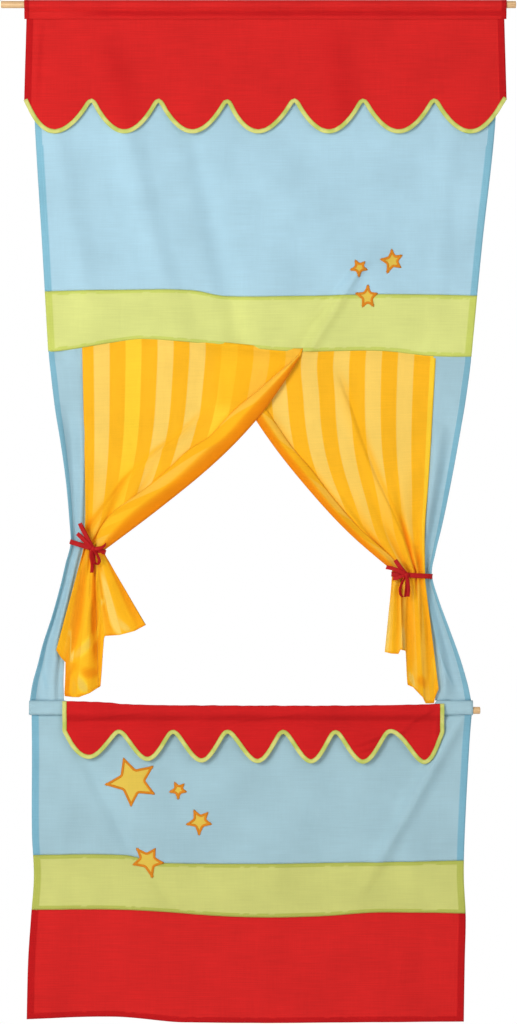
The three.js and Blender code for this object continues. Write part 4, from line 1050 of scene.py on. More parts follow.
# Each curtain runs from its outer edge across its face to the free silhouette, turns
# there, and comes back in front as a soft roll to the crease. Under the tie it fans out
# again: its face to the whole hem, its roll to a flap in front.
curtains = {
    "left": {
        # down to the tie, evenly spread: across and down
        "outerShares": [
            (-0.366, 0), (-0.364, 0.12), (-0.362, 0.245), (-0.36, 0.365), (-0.359, 0.485),
            (-0.362, 0.552),
        ],
        "freeShares": [
            (0.092, 0), (0.046, 0.107), (-0.013, 0.215), (-0.096, 0.33), (-0.204, 0.452),
            (-0.318, 0.57),
        ],
        # down the window: the crease across the cloth
        "creaseShares": [
            (0.0, 0.09), (0.029, 0.07), (0.1144, 0.0019), (0.1784, -0.0541), (0.2464, -0.1008),
            (0.2848, -0.1444), (0.3403, -0.188), (0.3915, -0.2315), (0.4342, -0.2749),
            (0.4683, -0.306), (0.5277, -0.334), (0.57, -0.338),
        ],
        # down the window: a pleat across the face, raised on the side of the free edge
        "pleatShares": [
            (0.1, -0.049), (0.17, -0.1), (0.247, -0.163), (0.289, -0.206), (0.3775, -0.273),
            (0.514, -0.3465),
        ],
        "pleatShows": (0.08, 0.3),
        "pleatHeight": 3.2 * mm,
        # along the drape: the share of the cloth's width that lies on the face
        "faceShares": [(0, 1.0), (0.25, 0.9), (0.5, 0.78), (0.7, 0.66), (0.85, 0.52), (1.0, 0.42)],
        "rollDepth": 8.5 * mm,
        "rollGrows": (-0.2, 0.12),
        "overOther": 5.5 * mm,
        # along the hem from the outer edge: across and down
        "hemShares": [
            (0, -0.419, 0.856), (0.06, -0.4098, 0.877), (0.12, -0.3994, 0.892),
            (0.135, -0.4025, 0.987), (0.24, -0.385, 0.99), (0.32, -0.3724, 0.99),
            (0.42, -0.3496, 0.978), (0.52, -0.3268, 0.958), (0.54, -0.3205, 0.827),
            (0.56, -0.3185, 0.8156), (0.72, -0.2873, 0.8128), (0.87, -0.2562, 0.8014),
            (1, -0.2334, 0.7844),
        ],
        "flapFrom": 0.5,
        # where single cloth shows paler against the light in the tail, or where the last value
        # is negative a painted fold shadow: along the hem, down, their reach, their lean, how clearly
        "paleAndShadowShares": [
            (0.7, 0.66, 0.07, 0.34, 0.1, 0.55), (0.79, 0.88, 0.045, 0.11, 0.3, 0.8),
            (0.35, 0.645, 0.12, 0.075, -2.7, 0.62), (0.342, 0.885, 0.045, 0.085, 0.6, 0.85),
            (0.24, 0.9, 0.05, 0.1, 0.2, 0.42), (0.46, 0.42, 0.05, 0.3, 0.0, -0.85),
            (0.15, 0.9, 0.035, 0.12, 0.0, -0.6), (0.43, 0.82, 0.07, 0.05, 1.2, -0.7),
        ],
        # soft folds in the tail: along the hem and down from where to where, width, rise
        "tailFolds": [
            (0.34, 0.1, 0.5, 0.75, 0.05, -2.6), (0.5, 0.3, 0.12, 0.8, 0.06, 1.6),
            (0.16, 0.82, 0.42, 0.95, 0.05, 1.4), (0.62, 0.2, 0.86, 0.95, 0.06, 1.2),
        ],
        "front": 1.8 * mm,
        "seed": 70.0,
        "firstPleat": 0.2,
        "tailPhase": 0.1,
        "tailSwell": 4.2 * mm,
        "tailTones": (0.45, 0.38),
    },
    "right": {
        "outerShares": [
            (0.368, 0), (0.363, 0.136), (0.358, 0.258), (0.352, 0.386), (0.345, 0.514),
            (0.345, 0.64),
        ],
        "freeShares": [
            (-0.09, 0), (-0.032, 0.144), (0.038, 0.287), (0.121, 0.426), (0.194, 0.531),
            (0.277, 0.629),
        ],
        "creaseShares": [
            (0.0, -0.088), (0.1, -0.03), (0.15, 0.005), (0.2094, 0.034), (0.2848, 0.0718),
            (0.3511, 0.1131), (0.4265, 0.1544), (0.5067, 0.206), (0.5539, 0.2438), (0.6009, 0.2817),
            (0.64, 0.297),
        ],
        "pleatShares": [
            (0.044, 0.154), (0.172, 0.189), (0.28, 0.216), (0.374, 0.244), (0.464, 0.275),
            (0.601, 0.3195),
        ],
        "pleatShows": (0.03, 0.16),
        "pleatHeight": 3.4 * mm,
        "faceShares": [(0, 1.0), (0.25, 0.84), (0.5, 0.7), (0.7, 0.62), (0.85, 0.55), (1.0, 0.5)],
        "rollDepth": 7.0 * mm,
        "rollGrows": (0.12, 0.34),
        "overOther": 0.0,
        "hemShares": [
            (0, 0.3735, 0.966), (0.06, 0.3665, 0.99), (0.1, 0.3635, 1.0075), (0.2, 0.3465, 1.0075),
            (0.27, 0.34, 0.99), (0.36, 0.3309, 0.977), (0.46, 0.3205, 0.962), (0.56, 0.3085, 0.955),
            (0.6, 0.305, 0.8583), (0.7, 0.2936, 0.854), (0.74, 0.2894, 0.8668),
            (0.87, 0.2749, 0.8654), (1, 0.2614, 0.8612),
        ],
        "flapFrom": 0.66,
        "paleAndShadowShares": [
            (0.49, 0.89, 0.055, 0.08, -0.4, 0.8), (0.645, 0.82, 0.03, 0.14, 0.0, 0.75),
            (0.97, 0.7, 0.05, 0.35, 0.0, 0.4), (0.08, 0.8, 0.05, 0.12, 0.3, 0.4),
            (0.27, 0.82, 0.08, 0.06, 0.9, -0.65), (0.2, 0.32, 0.03, 0.22, 0.2, -0.4),
        ],
        "tailFolds": [
            (0.5, 0.15, 0.62, 0.8, 0.05, -2.4), (0.2, 0.2, 0.3, 0.9, 0.07, 1.6),
            (0.06, 0.4, 0.2, 0.95, 0.05, -1.4), (0.36, 0.7, 0.52, 0.95, 0.06, 1.5),
        ],
        "front": 0.6 * mm,
        "seed": 80.0,
        "firstPleat": 0.6,
        "tailPhase": 0.35,
        "tailSwell": 3.0 * mm,
        "tailTones": (0.43, 0.18),
    },
}
curtain = {
    "flatWidth": 369 * mm,
    "flatLength": 600 * mm,
    "columns": {"face": 112, "roll": 34, "back": 52},
    "drapeRows": 104,
    "tailRows": 64,
    "drapeShare": 0.66,  # of the flat length
    "waistDepth": 11.5 * mm,
    "behindRoll": 3.2 * mm,
    "waistPleats": 5,
    "pleatWidths": (13 * mm, 2.2 * mm),  # towards the free edge, and back
    "waistSwell": 3.9 * mm,
    "rollFull": 14 * mm,  # the roll's width from which it is as deep as it gets
    "tuck": 5 * mm,
    "neck": 9 * mm,
    "tailFace": 8.2 * mm,
    "tailBack": 13.0 * mm,
    "tailFlap": 16.8 * mm,
    # the share of the cloth's width on the tail's face, and where its roll ends
    "tailFlatShares": (0.672, 0.872),
}
# across the roll, from the free edge to the crease: how deep an orange is painted, a painted shade at its
# lower free edge and a paler painted highlight along its middle
rollTones = [
    (0, 1.0), (0.34, 0.95), (0.47, 0.8), (0.56, 0.44), (0.86, 0.4), (0.95, 0.55), (1, 0.8),
]


# The lines that a row of the drape hangs between, at its share t of the way to the tie
@functools.lru_cache(maxsize=None)
def drapeRow(side, t):
    piece = curtains[side]
    outer = windowPoint(*splineAt(piece["outerShares"], t))
    free = windowPoint(*splineAt(piece["freeShares"], t))
    down = (levels["windowTop"] - free.y) / windowHeight
    crease = windowPoint(tableAt(piece["creaseShares"], down), down)
    toFree = 1 if free.x > outer.x else -1
    crease.x = free.x - toFree * max(toFree * (free.x - crease.x), 0.5 * mm)
    crease.y = free.y + (outer.y - free.y) * 0.05
    rollWidth = abs(free.x - crease.x)
    onFace = tableAt(piece["faceShares"], t)
    gather = ease(t, 0.36, 1)
    return {
        "outer": outer,
        "free": free,
        "crease": crease,
        "toFree": toFree,
        "onFace": onFace,
        "rollFlat": min(rollWidth * 1.15 / curtain["flatWidth"], 0.6 * (1 - onFace) + 0.001),
        "creaseShare": 1 - rollWidth / abs(free.x - outer.x),
        "fullness": min(1.0, rollWidth / curtain["rollFull"]) * ease(t, *piece["rollGrows"]),
        "gather": gather,
        "level": lerp(piece["front"], curtain["waistDepth"] - curtain["behindRoll"], gather),
    }


# The pleats that run into the tie: uneven in width and depth, as a hand gathers them
def tiePleats(piece, q):
    uneven = q + 0.035 * math.sin(9 * q + piece["seed"]) + 0.02 * math.sin(23 * q)
    turn = 2 * math.pi * curtain["waistPleats"] * (uneven + piece["firstPleat"])
    return (0.75 + 0.25 * math.sin(14 * q + 2 * piece["seed"])) * math.cos(turn)


# How far a pleat raises the face at a point, how much of the cloth it hides, and how
# much its other side shines
def facePleat(piece, toFree, x, z):
    down = (levels["windowTop"] - z) / windowHeight
    shown = ease(down, *piece["pleatShows"])
    if shown == 0:
        return 0.0, 0.0, 0.0
    beyond = (x - tableAt(piece["pleatShares"], down) * cloth["width"]) * toFree
    raised = shown * hump(beyond, curtain["pleatWidths"][beyond <= 0])
    return raised, shown * ease(beyond, -4 * mm, 4 * mm), shown * hump(beyond + 8 * mm, 7 * mm)


# Each point of a drape's row: its place, its depth in front of the cloth's plane, its
# share of the flat cloth and how deep an orange is painted there. Zone is face, roll or back, q runs along
# it.
def drapeSection(side, zone, q, t):
    piece, row = curtains[side], drapeRow(side, t)
    gather, fullness = row["gather"], row["fullness"]
    turned = row["onFace"] + row["rollFlat"]
    if zone == "face":
        place = row["outer"].lerp(row["free"], q)
        toCrease = q - row["creaseShare"]
        under = ease(toCrease, -0.03, 0.05) * fullness
        pleat = tiePleats(piece, q)
        swell = curtain["waistSwell"] * gather**1.5 * (1 - 0.75 * under)
        raised, hidden, lit = facePleat(piece, row["toFree"], *place)
        depth = row["level"] + swell * pleat - 1.6 * mm * under
        depth += raised * piece["pleatHeight"] * (1 - 0.5 * gather)
        flat = q * row["onFace"] + 0.009 * hidden * (1 - gather)
        # painted shade: deeper orange where the face gathers to the tie, in its pleat valleys, on a pleat
        # and along the crease; beside a pleat a painted lit band
        tone = 0.4 * gather * ease(pleat, 0.7, -0.9) + 0.3 * gather
        tone += 0.3 * hump(toCrease, 0.035) * fullness + 0.16 * raised + 0.4 * lit
        return place, depth, flat, min(1.0, tone)
    if zone == "roll":
        place = row["free"].lerp(row["crease"], (1 - math.cos(math.pi * q)) / 2)
        bulge = piece["rollDepth"] * math.sin(math.pi * q) ** 0.85
        inner = 0.9 * mm * math.sin(2 * math.pi * (2.2 * q + 0.15)) * ease(t, 0.3, 0.6)
        depth = row["level"] + fullness * (bulge + inner * math.sin(math.pi * q))
        flat = lerp(row["onFace"], turned, q)
        return place, depth, flat, tableAt(rollTones, q) * ease(fullness, 0, 0.4)
    place = row["crease"].lerp(row["free"], 0.92 * q)
    room = piece["rollDepth"] * math.sqrt(max(0.0, 1 - (1 - 2 * 0.92 * q) ** 2))
    depth = row["level"] + fullness * room * (0.42 + 0.4 * math.sin(17 * math.pi * q))
    return place, depth, lerp(turned, 1.0, q), 0.9


# How far the seam at the window's top lies above its mean height
def windowWave(x):
    return seamAt("windowTop", x) - levels["windowTop"]


def drapePoint(side, zone, q, t):
    piece = curtains[side]
    (x, z), depth, flat, tone = drapeSection(side, zone, q, t)
    z += windowWave(x) * (1 - ease(t, 0, 0.25)) + curtain["tuck"] * (1 - ease(t, 0, 0.03))
    if piece["overOther"]:
        # at its top the left curtain hangs in front of the right one
        over = ease(x, -110 * mm, -60 * mm) * (1 - ease(t, 0.3, 0.5)) * ease(t, 0.01, 0.1)
        depth += piece["overOther"] * over
        # where it lies over the other curtain it is painted deeper orange, for the light that two layers
        # hold back
        tone = max(tone, 0.42 * ease(x, -85 * mm, -60 * mm) * (1 - ease(t, 0.25, 0.35)))
    behindBand = 3.2 * mm * (1 - ease(t, 0.0, 0.045))
    y = cloth["plane"] - depth + behindBand
    y += 1.3 * mm * ease(t, 0.02, 0.2) * ripple(x, z, 34 * mm, 150 * mm, piece["seed"])
    y += 0.35 * mm * ripple(x, z, 10 * mm, 24 * mm, piece["seed"] + 2)
    flatZ = -t * curtain["drapeShare"] * curtain["flatLength"]
    return Vector((x, y, z)), (flat * curtain["flatWidth"], flatZ), tone


# The tail's section at q: how its folds rise there, and its depth in front of the plane
def tailSection(piece, zone, q, opened):
    swell = piece["tailSwell"] * lerp(0.35, 1.0, opened)
    if zone == "face":
        # the tie's pleats open out to a few broad folds
        broad = 0.9 * math.cos(2 * math.pi * (2.4 * q + piece["tailPhase"]))
        fold = lerp(tiePleats(piece, q), broad, opened)
        behind = ease(q, piece["flapFrom"] - 0.08, piece["flapFrom"] + 0.05)
        depth = curtain["tailFace"] + swell * fold * (1 - 0.35 * behind)
        edgeDepth = curtain["tailFlap"] + 0.4 * swell * math.cos(2 * math.pi * 0.35)
        return fold, lerp(depth, edgeDepth, ease(q, 0.94, 1.0))
    if zone == "roll":
        fold = math.cos(2 * math.pi * (1.6 * q + 0.35))
        depth = curtain["tailFlap"] + 0.4 * swell * fold
        return min(fold, lerp(1.0, -0.9, ease(q, 0.86, 1.0))), depth
    depth = lerp(curtain["tailFlap"], curtain["tailBack"], ease(q, 0, 0.08))
    return -1.0, depth + 2.4 * mm * math.sin(17 * math.pi * q)


def tailPoint(side, zone, q, t):
    piece = curtains[side]
    (x, z), depth, flat, tone = drapeSection(side, zone, q, 1.0)
    faceFlat, rollFlat = curtain["tailFlatShares"]
    along, openFlat = {
        "face": (q, q * faceFlat),
        "roll": (1 - q * (1 - piece["flapFrom"]), lerp(faceFlat, rollFlat, q)),
        "back": (lerp(piece["flapFrom"], 0.94, q), lerp(rollFlat, 1.0, q)),
    }[zone]
    neck = Vector((x, z - curtain["neck"] * min(1.0, t / 0.04)))
    hem = windowPoint(*(lineAt(piece["hemShares"], along, column) for column in (1, 2)))
    if zone == "back":
        hem.y += 12 * mm
    at = neck.lerp(hem, 0.55 * ease(t, 0.04, 1.0) + 0.45 * max(0.0, (t - 0.04) / 0.96))
    opened = ease(t, 0.02, 0.34)
    fold, tailDepth = tailSection(piece, zone, q, opened)
    for fromAlong, fromDown, toAlong, toDown, wide, rise in piece["tailFolds"]:
        share = (t - fromDown) / (toDown - fromDown)
        if zone != "back" and -0.2 < share < 1.2:
            beside = along - lerp(fromAlong, toAlong, share)
            shown = ease(share, -0.2, 0.2) * (1 - ease(share, 0.8, 1.2)) * hump(beside, wide)
            tailDepth += rise * mm * shown
            fold += 0.35 * rise * shown
    y = cloth["plane"] - lerp(depth, tailDepth, ease(t, 0.03, 0.35))
    y += 1.6 * mm * opened * ripple(at.x, at.y, 24 * mm, 55 * mm, piece["seed"] + 4)
    y += 0.5 * mm * ripple(at.x, at.y, 9 * mm, 16 * mm, piece["seed"] + 7)
    # the tail is painted deeper orange for its layers, with painted shade in its fold valleys, and the
    # listed pale patches and painted fold shadows on top
    plainTone, valleyTone = piece["tailTones"]
    paintedTone = plainTone + valleyTone * ease(-fold, -0.3, 1.0) * (1 - 0.5 * ease(t, 0.5, 1.0))
    for atHem, atDown, wide, tall, lean, clear in piece["paleAndShadowShares"]:
        beside = (along - atHem - lean * (t - atDown)) / wide
        shown = abs(clear) * hump(beside**2 + ((t - atDown) / tall) ** 2, 1.0)
        paintedTone = lerp(paintedTone, -1.0 if clear > 0 else 1.0, shown)
    paintedTone = lerp(tone, paintedTone, ease(t, 0.02, 0.15)) + 0.2 * ease(t, 0.955, 0.965)
    flat = lerp(flat, openFlat, ease(t, 0, 0.25))
    flatZ = -lerp(curtain["drapeShare"], 1.0, t) * curtain["flatLength"]
    return Vector((at.x, y, at.y)), (flat * curtain["flatWidth"], flatZ), min(1.0, paintedTone)


def makeCurtain(name, side):
    stretches = [("face", 0.0)]
    for zone, count in curtain["columns"].items():
        stretches += [(zone, share) for share in evenly(count)[1:]]
    last = len(stretches) - 1
    drapeRows, rows = curtain["drapeRows"], curtain["drapeRows"] + curtain["tailRows"]

    def place(u, v):
        zone, q = stretches[round(u * last)]
        row = round(v * rows)
        if row <= drapeRows:
            return drapePoint(side, zone, q, row / drapeRows)
        return tailPoint(side, zone, q, (row - drapeRows) / curtain["tailRows"])

    return makeSheet(name, evenly(last), evenly(rows), place)


for side in ("left", "right"):
    curtainPiece = makeCurtain(f"{side}CurtainCloth", side)
    nodes = (f"{side}_curtain", f"{side}_curtain_tail")
    fit(curtainPiece, "upper_cloth", f"{side}Stripes", "striped_cotton", *nodes)
print("curtains done")


# The side strips hang from the band to the casing and are gathered in the ties

strip = {
    "flatWidth": 60 * mm,
    "hem": 9 * mm,
    "tuck": 5 * mm,
    "tiePleats": 1.6,
    "openFolds": 1.3,
    "fullness": 0.9,
    "deepest": 2.4 * mm,
    "openDeepest": 6.0 * mm,
    "underCurtain": 7 * mm,
    "creaseShade": 0.3 / (1.6 * mm),
    "cell": (1.6 * mm, 3.6 * mm),
}


def makeStrip(name, side, piece):
    outward = -1 if side == "left" else 1
    seed, creases, pleats, folds = piece["seed"], piece["creases"], strip["tiePleats"], strip["openFolds"]

    # beside the drape and its tail the strip goes on behind them
    def hidden(v):
        return strip["underCurtain"] * ease(v, 0.0, 0.1) * (1 - 0.75 * ease(v, 0.86, 0.96))

    # u runs from the outer to the inner edge, v down from the window's top
    def place(u, v):
        outer, inner = tableAt(piece["shares"], v, 1), tableAt(piece["shares"], v, 2)
        start, end = outer * cloth["width"], inner * cloth["width"] - outward * hidden(v)
        x = lerp(start, end, u)
        z = levels["windowTop"] - v * windowHeight + windowWave(x) * (1 - ease(v, 0, 0.2))
        z += strip["tuck"] * (1 - ease(v, 0, 0.02))
        near = hump(v - piece["tieDown"], 0.16)
        gathered = math.cos(2 * math.pi * pleats * (u + 0.1 * math.sin(seed)))
        broad = math.cos(2 * math.pi * folds * (u + 0.08 * math.sin(6 * v + seed)) + 0.6)
        pleat, count = lerp(broad, gathered, near), lerp(folds, pleats, near)
        # the pleats take up what the narrow places leave of the cloth's width
        flatFold = strip["flatWidth"] / (2 * count)
        fold = min(abs(end - start) / (2 * count), flatFold)
        deepest = lerp(strip["openDeepest"], strip["deepest"], near)
        pleatDepth = min(math.sqrt(flatFold**2 - fold**2) / 2, deepest)
        tucked = ease(u, 0.7, 0.92)
        crease = wrinkleRise(creases, x, z)
        y = cloth["plane"] + 1.6 * mm * (1 - ease(v, 0.0, 0.04)) - crease
        y -= strip["fullness"] * pleatDepth * pleat * (1 - tucked)
        y += 1.4 * mm * tucked * hidden(v) / strip["underCurtain"]
        y += 0.7 * mm * ripple(x, z, 16 * mm, 200 * mm, seed) * ease(v, 0.02, 0.15)
        y += 0.2 * mm * ripple(x, z, 8 * mm, 14 * mm, seed + 3)
        # painted shade in the pleat valleys near the tie and in the creases
        layersAndShade = 0.22 * near * ease(-pleat, 0.0, 1.0) + strip["creaseShade"] * abs(crease)
        if u < 0.5 and inHem(u * strip["flatWidth"], strip["hem"]):
            layersAndShade = 1.0
        flatX = outward * 400 * mm + u * strip["flatWidth"]
        return Vector((x, y, z)), (flatX, z), min(1.0, layersAndShade)

    columns = stations(strip["flatWidth"], strip["cell"][0], strip["hem"], strip["hem"])
    return makeSheet(name, columns, stations(windowHeight, strip["cell"][1]), place)


stripCloths = [
    fit(
        makeStrip(f"{side}StripCloth", side, piece),
        "upper_cloth",
        "stripCotton",
        "sky_cotton",
        f"{side}_side_strip",
    )
    for side, piece in strips.items()
]
print("side strips done")


# Ribbons: a strip that follows a smooth path, with its width turned as given

ribbon = {"bandWidth": 8.2 * mm, "bowWidth": 6.6 * mm, "thickness": 0.3 * mm, "step": 1.4 * mm}
ribbonFit = ("upper_cloth", "redRibbon", "red_ribbon")


def makeRibbon(name, points, widths, width, closed=False):
    steps = max(24, round(lengthsAlong(points)[-1] / ribbon["step"]))
    curve = [splineAt(points, share) for share in evenly(steps)]
    lengths = lengthsAlong(curve)

    def place(u, v):
        k = round(u * steps)
        across = splineAt(widths, u).normalized()
        before, after = curve[max(k - 1, 0)], curve[min(k + 1, steps)]
        if closed and k in (0, steps):
            before, after = curve[steps - 1], curve[1]
        cup = across.cross(after - before).normalized() * (2 * v - 1) ** 2 * 0.4 * mm
        return curve[k] + across * (v - 0.5) * width + cup, (lengths[k], v * width), 0.0

    return makeSheet(name, evenly(steps), evenly(4), place, ribbon["thickness"], closeAround=closed)


# round the gathers: a share from the strip's side to the free side, a share of the depth
bandRing = [
    (0.0, 0.86), (0.03, 0.62), (0.16, 0.34), (0.4, 0.12), (0.62, 0.03), (0.82, 0.08),
    (0.97, 0.24), (1.0, 0.42), (0.9, 0.62), (0.6, 0.84), (0.3, 0.97), (0.08, 0.99), (0.0, 0.86),
]
bandSlopes = {"left": -0.2994, "right": -0.06}
bandBoxes = {side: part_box(f"{side}_tie_band") for side in bandSlopes}


def bandHeight(side, x):
    low, high = bandBoxes[side]
    return (low.z + high.z) / 2 + bandSlopes[side] * (x - (low.x + high.x) / 2)


# The band goes round the gathered curtain and the neck of the side strip
def makeBand(side):
    low, high = bandBoxes[side]
    stripEnd, freeEnd = (low.x, high.x) if side == "left" else (high.x, low.x)
    points = []
    for across, depth in bandRing:
        x = lerp(stripEnd, freeEnd, across)
        points.append(Vector((x, lerp(low.y, high.y, depth), bandHeight(side, x))))
    upright = Vector((-bandSlopes[side], 0, 1)).normalized()
    return makeRibbon(f"{side}TieBand", points, [upright, upright], ribbon["bandWidth"], closed=True)


for side in bandSlopes:
    fit(makeBand(side), *ribbonFit, f"{side}_tie_band")


# Bows: their strands in mm from the knot, to the right, forward and up, then which way their
# width goes. A flat strand lies against the cloth and comes back behind itself, an open one
# shows its inside.
bows = {
    "left": {
        "knotAcross": -0.343,
        "UpperLoop": (
            [(-1, 2, 2), (-9, 5, 18), (-17, 5, 33), (-21, 3, 42), (-16, 1, 33), (-8, 1, 17), (0, 1, 2)],
            (0.9, 0, 0.42),
        ),
        "LowerLoop": (
            [(-2, 3, 1), (-11, 6, 11), (-20, 6, 20), (-25, 4, 25), (-19, 2, 20), (-10, 2, 11), (0, 1, 1)],
            (0.66, 0, 0.75),
        ),
        "HangingLoop": (
            [(2, 1, -1), (8, 5, -10), (12, 7, -20), (8, 6, -27), (3, 5, -21), (2, 3, -10), (1, 1, -2)],
            (0.75, 0.66, 0),
        ),
        "HangingEnd": ([(0, 2, -1), (-2, 5, -12), (0, 4, -26), (-1, 3, -40)], (0.8, 0.5, 0.05)),
        "UpperEnd": ([(1, 1, 0), (8, 2, 0), (16, 0, 2), (22, -3, 7)], (0.15, 0.1, 1)),
    },
    "right": {
        "knotAcross": 0.305,
        "UpperLoop": (
            [(-2, 2, 2), (-8, 5, 10), (-14, 5, 18), (-18, 3, 25), (-13, 2, 18), (-7, 1, 10), (0, 1, 2)],
            (0.85, 0, 0.5),
        ),
        "SideLoop": (
            [(-2, 3, 1), (-12, 6, 7), (-23, 6, 11), (-33, 4, 13), (-23, 2, 11), (-11, 2, 6), (0, 1, 1)],
            (0.3, 0, 0.95),
        ),
        "HangingLoop": (
            [(0, 1, -2), (-6, 4, -12), (-10, 6, -24), (-8, 5, -34), (-2, 4, -35), (0, 3, -20), (1, 1, -3)],
            (0.72, 0.7, 0),
        ),
        "LowerEnd": ([(-1, 2, 0), (-8, 3, -2), (-15, 3, -5), (-22, 1, -6)], (0.1, 0.1, 1)),
        "HangingEnd": ([(1, 2, -1), (3, 5, -12), (4, 4, -25), (3, 3, -36)], (0.85, 0.45, 0)),
    },
}
knot = {"radii": (4.6 * mm, 3.6 * mm, 5.0 * mm), "beforeBand": 1.6 * mm, "wraps": 3, "wrapDepth": 0.1}


def makeKnot(name, root):
    bm = bmesh.new()
    bmesh.ops.create_uvsphere(bm, u_segments=20, v_segments=14, radius=1.0)
    for vert in bm.verts:
        turn = math.atan2(vert.co.z, vert.co.x)
        wrap = 1 + knot["wrapDepth"] * math.cos(knot["wraps"] * turn + 4 * vert.co.y)
        vert.co = root + vert.co * Vector(knot["radii"]) * wrap
    return newPiece(name, bm, frontView=True)


for side, strands in bows.items():
    x = strands.pop("knotAcross") * cloth["width"]
    root = Vector((x, bandBoxes[side][0].y - knot["beforeBand"], bandHeight(side, x)))
    fit(makeKnot(f"{side}BowKnot", root), *ribbonFit, f"{side}_tie_bow")
    for name, (path, width) in strands.items():
        points = [root + Vector((dx, -dy, dz)) * mm for dx, dy, dz in path]
        widths = [Vector(width)] * 2
        fit(makeRibbon(f"{side}Bow{name}", points, widths, ribbon["bowWidth"]), *ribbonFit)
print("ties done")


# Stars: cotton patches with a border of satin stitch

starShapes = {
    "wide": [(-0.3, 0.91), (0.84, 0.59), (0.9, -0.49), (-0.01, -0.96), (-1.01, -0.12)],
    "lean": [(-0.45, 0.87), (0.64, 0.68), (0.92, -0.23), (-0.04, -1.08), (-1.02, -0.25)],
    "turned": [(-0.73, 0.76), (0.45, 0.76), (0.97, -0.15), (0.26, -1.09), (-0.95, -0.27)],
    "upright": [(-0.06, 0.98), (0.82, 0.48), (0.72, -0.57), (-0.45, -1.03), (-1.02, 0.14)],
    "even": [(0.06, 1.05), (0.87, 0.32), (0.54, -0.81), (-0.44, -0.87), (-1.02, 0.32)],
}
starWaistShare = 0.6
stars = [
    {"number": 1, "shape": "upright", "radius": 21.5 * mm, "sheet": upperCloth, "place": (0.278, 0.353)},
    {"number": 2, "shape": "lean", "radius": 16.5 * mm, "sheet": upperCloth, "place": (0.209, 0.363)},
    {"number": 3, "shape": "even", "radius": 21 * mm, "sheet": upperCloth, "place": (0.226, 0.4055)},
    {"number": 4, "shape": "wide", "radius": 45 * mm, "sheet": lowerCloth, "place": (-0.264, 0.236)},
    {"number": 5, "shape": "lean", "radius": 16.5 * mm, "sheet": lowerCloth, "place": (-0.166, 0.2625)},
    {"number": 6, "shape": "lean", "radius": 23.5 * mm, "sheet": lowerCloth, "place": (-0.122, 0.363)},
    {"number": 7, "shape": "turned", "radius": 28.5 * mm, "sheet": lowerCloth, "place": (-0.229, 0.4885)},
]
starTrim = {
    "borderWidth": 4.1 * mm,
    "borderHeight": 1.1 * mm,
    "lift": 0.55 * mm,
    "cornerRound": 1.2 * mm,
    "step": 1.1 * mm,
    "patchShare": 0.97,
    "patchThickness": 0.25 * mm,
    "borderThickness": 0.2 * mm,
    "threadStep": 1.9 * mm,
    "ragged": 0.12 * mm,
}


# The star's outline as closely spaced points, its corners a little rounded
def starOutline(star):
    sheet, (across, down) = star["sheet"], star["place"]
    centre = Vector((across * cloth["width"], sheet["top"] - down * sheet["height"]))
    tips = [Vector(tip) for tip in starShapes[star["shape"]]]
    corners = []
    for tip, following in zip(tips, tips[1:] + tips[:1]):
        corners += [tip, (tip + following) * starWaistShare / 2]
    corners = [centre + corner * star["radius"] for corner in corners]
    points = []
    for corner, following in zip(corners, corners[1:] + corners[:1]):
        edge = following - corner
        cut = min(starTrim["cornerRound"], 0.3 * edge.length)
        start, end = corner + edge.normalized() * cut, following - edge.normalized() * cut
        count = max(3, round((end - start).length / starTrim["step"]))
        points += [start.lerp(end, share) for share in evenly(count)]
    return centre, points


def makeStar(star):
    number, (centre, outline) = star["number"], starOutline(star)
    count, lengths = len(outline), lengthsAlong(outline + outline[:1])

    # on the cloth's front, raised by so much
    def onSheet(spot, rise):
        front = clothDepth(star["sheet"], spot.x, spot.y) - starTrim["lift"]
        return Vector((spot.x, front - rise, spot.y))

    def placePatch(u, v):
        spot = centre.lerp(outline[round(u * count) % count], v * starTrim["patchShare"])
        return onSheet(spot, 0.0), (spot.x, spot.y), 0.0

    def placeBorder(u, v):
        k, across = round(u * count), 2 * v - 1
        heading = (outline[(k + 1) % count] - outline[(k - 1) % count]).normalized()
        outward = Vector((-heading.y, heading.x))
        ragged = math.sin(lengths[k] * 2 * math.pi / starTrim["threadStep"]) * abs(across)
        reach = (across - 1) * starTrim["borderWidth"] / 2 + starTrim["ragged"] * ragged
        rise = starTrim["borderHeight"] * math.sqrt(max(0.0, 1 - across * across))
        spot = outline[k % count] + outward * reach
        return onSheet(spot, rise), (lengths[k], v * starTrim["borderWidth"]), 0.0

    body = "upper_cloth" if star["sheet"] is upperCloth else "lower_cloth"
    patch, border = [
        makeSheet(f"star{part}{number}", evenly(count), evenly(8), place, thickness, closeAround=True)
        for part, place, thickness in (
            ("Patch", placePatch, starTrim["patchThickness"]),
            ("Border", placeBorder, starTrim["borderThickness"]),
        )
    ]
    fit(patch, body, "starCotton", "star_cotton", f"star_patch_{number}")
    fit(border, body, "orangeStitch", "orange_thread", f"star_border_{number}")
    return patch, border


starPieces = [makeStar(star) for star in stars]
print("stars done")


for star, (patch, border) in zip(stars, starPieces):
    low, high = [Vector(corner) for corner in (patch.bound_box[0], patch.bound_box[6])]
    width, length = high.x - low.x, high.z - low.z


# The stage for the picture: camera, light, floor

shot = {
    "distance": 6.0,
    "centreHeight": -847.4 * mm,
    "pictureHeight": 1710 * mm,
    "sensor": 36.0,
    "floorLevel": -1.83,
    "floorHalf": 8,
    "fadeReach": (0.45, 0.85),
    "worldStrengths": (0.34, 1.0),
}

cameraData = bpy.data.cameras.new("camera")
cameraData.sensor_width = shot["sensor"]
cameraData.lens = shot["sensor"] * shot["distance"] / shot["pictureHeight"]
camera = bpy.data.objects.new("camera", cameraData)
camera.location = (0, -shot["distance"], shot["centreHeight"])
camera.rotation_euler = (math.radians(90), 0, 0)
bpy.context.scene.collection.objects.link(camera)
bpy.context.scene.camera = camera

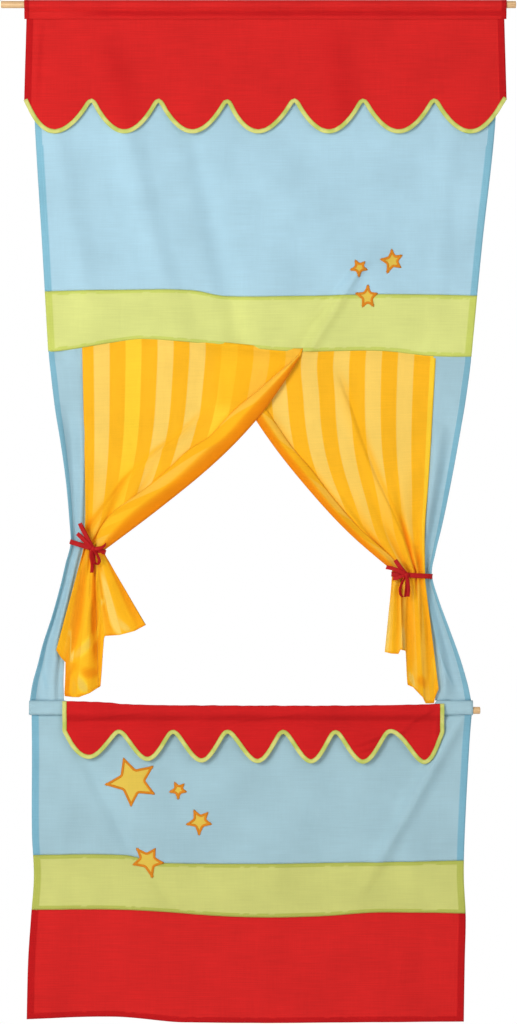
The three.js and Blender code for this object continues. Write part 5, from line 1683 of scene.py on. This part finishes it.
lamps = {
    "key": {"place": (-2.5, -4.2, 0.1), "size": 2.0, "power": 145},
    "fill": {"place": (2.6, -3.2, -0.6), "size": 3.0, "power": 30},
    "back": {"place": (0.6, 3.2, 0.8), "size": 2.6, "power": 40},
}
for name, lamp in lamps.items():
    data = bpy.data.lights.new(name, "AREA")
    data.energy = lamp["power"]
    data.size = lamp["size"]
    light = bpy.data.objects.new(name, data)
    light.location = lamp["place"]
    aim = Vector((0, 0, shot["centreHeight"])) - light.location
    light.rotation_euler = aim.to_track_quat("-Z", "Y").to_euler()
    bpy.context.scene.collection.objects.link(light)


# One for the rays that come from the camera, off a shine or through glass
def seenRays(tree):
    path = addNode(tree, "LightPath")
    first = maths(tree, "MAXIMUM", path.outputs["Is Camera Ray"], path.outputs["Is Glossy Ray"])
    return maths(tree, "MAXIMUM", first, path.outputs["Is Transmission Ray"])


world = bpy.data.worlds.new("studio")
world.use_nodes = True
bpy.context.scene.world = world
studio = world.node_tree
background = studio.nodes["Background"]
dim, bright = shot["worldStrengths"]
level = addNode(studio, "MapRange", {0: seenRays(studio), "To Min": dim, "To Max": bright})
studio.links.new(level.outputs[0], background.inputs["Strength"])
background.inputs["Color"].default_value = (1, 1, 1, 1)


# Pale painted floor that keeps the shadow near the theatre and fades to the white behind
def makeFloor():
    bm = bmesh.new()
    bmesh.ops.create_grid(bm, x_segments=2, y_segments=2, size=shot["floorHalf"])
    bmesh.ops.translate(bm, vec=(0, 0, shot["floorLevel"]), verts=bm.verts)
    floor = newPiece("floor", bm)
    material, tree, shader = newMaterial("paintedFloor", roughness=0.9)
    shader.inputs["Base Color"].default_value = hexColour("#F4F4F2")
    place = addNode(tree, "TexCoord").outputs["Object"]
    flatPlace = addNode(tree, "VectorMath", {0: place, 1: (1, 1, 0)}, operation="MULTIPLY")
    away = addNode(tree, "VectorMath", {0: flatPlace.outputs[0]}, operation="LENGTH")
    near, far = shot["fadeReach"]
    fade = addNode(tree, "MapRange", {0: away.outputs["Value"], "From Min": near, "From Max": far})
    seen = maths(tree, "MULTIPLY", fade.outputs[0], seenRays(tree))
    white = addNode(tree, "Emission", {"Color": (1, 1, 1, 1), "Strength": 1.0})
    mixed = addNode(tree, "MixShader", {0: seen, 1: shader.outputs[0], 2: white.outputs[0]})
    tree.links.new(mixed.outputs[0], tree.nodes["Material Output"].inputs["Surface"])
    floor.data.materials.append(material)


makeFloor()
bpy.context.scene.view_settings.view_transform = "Standard"
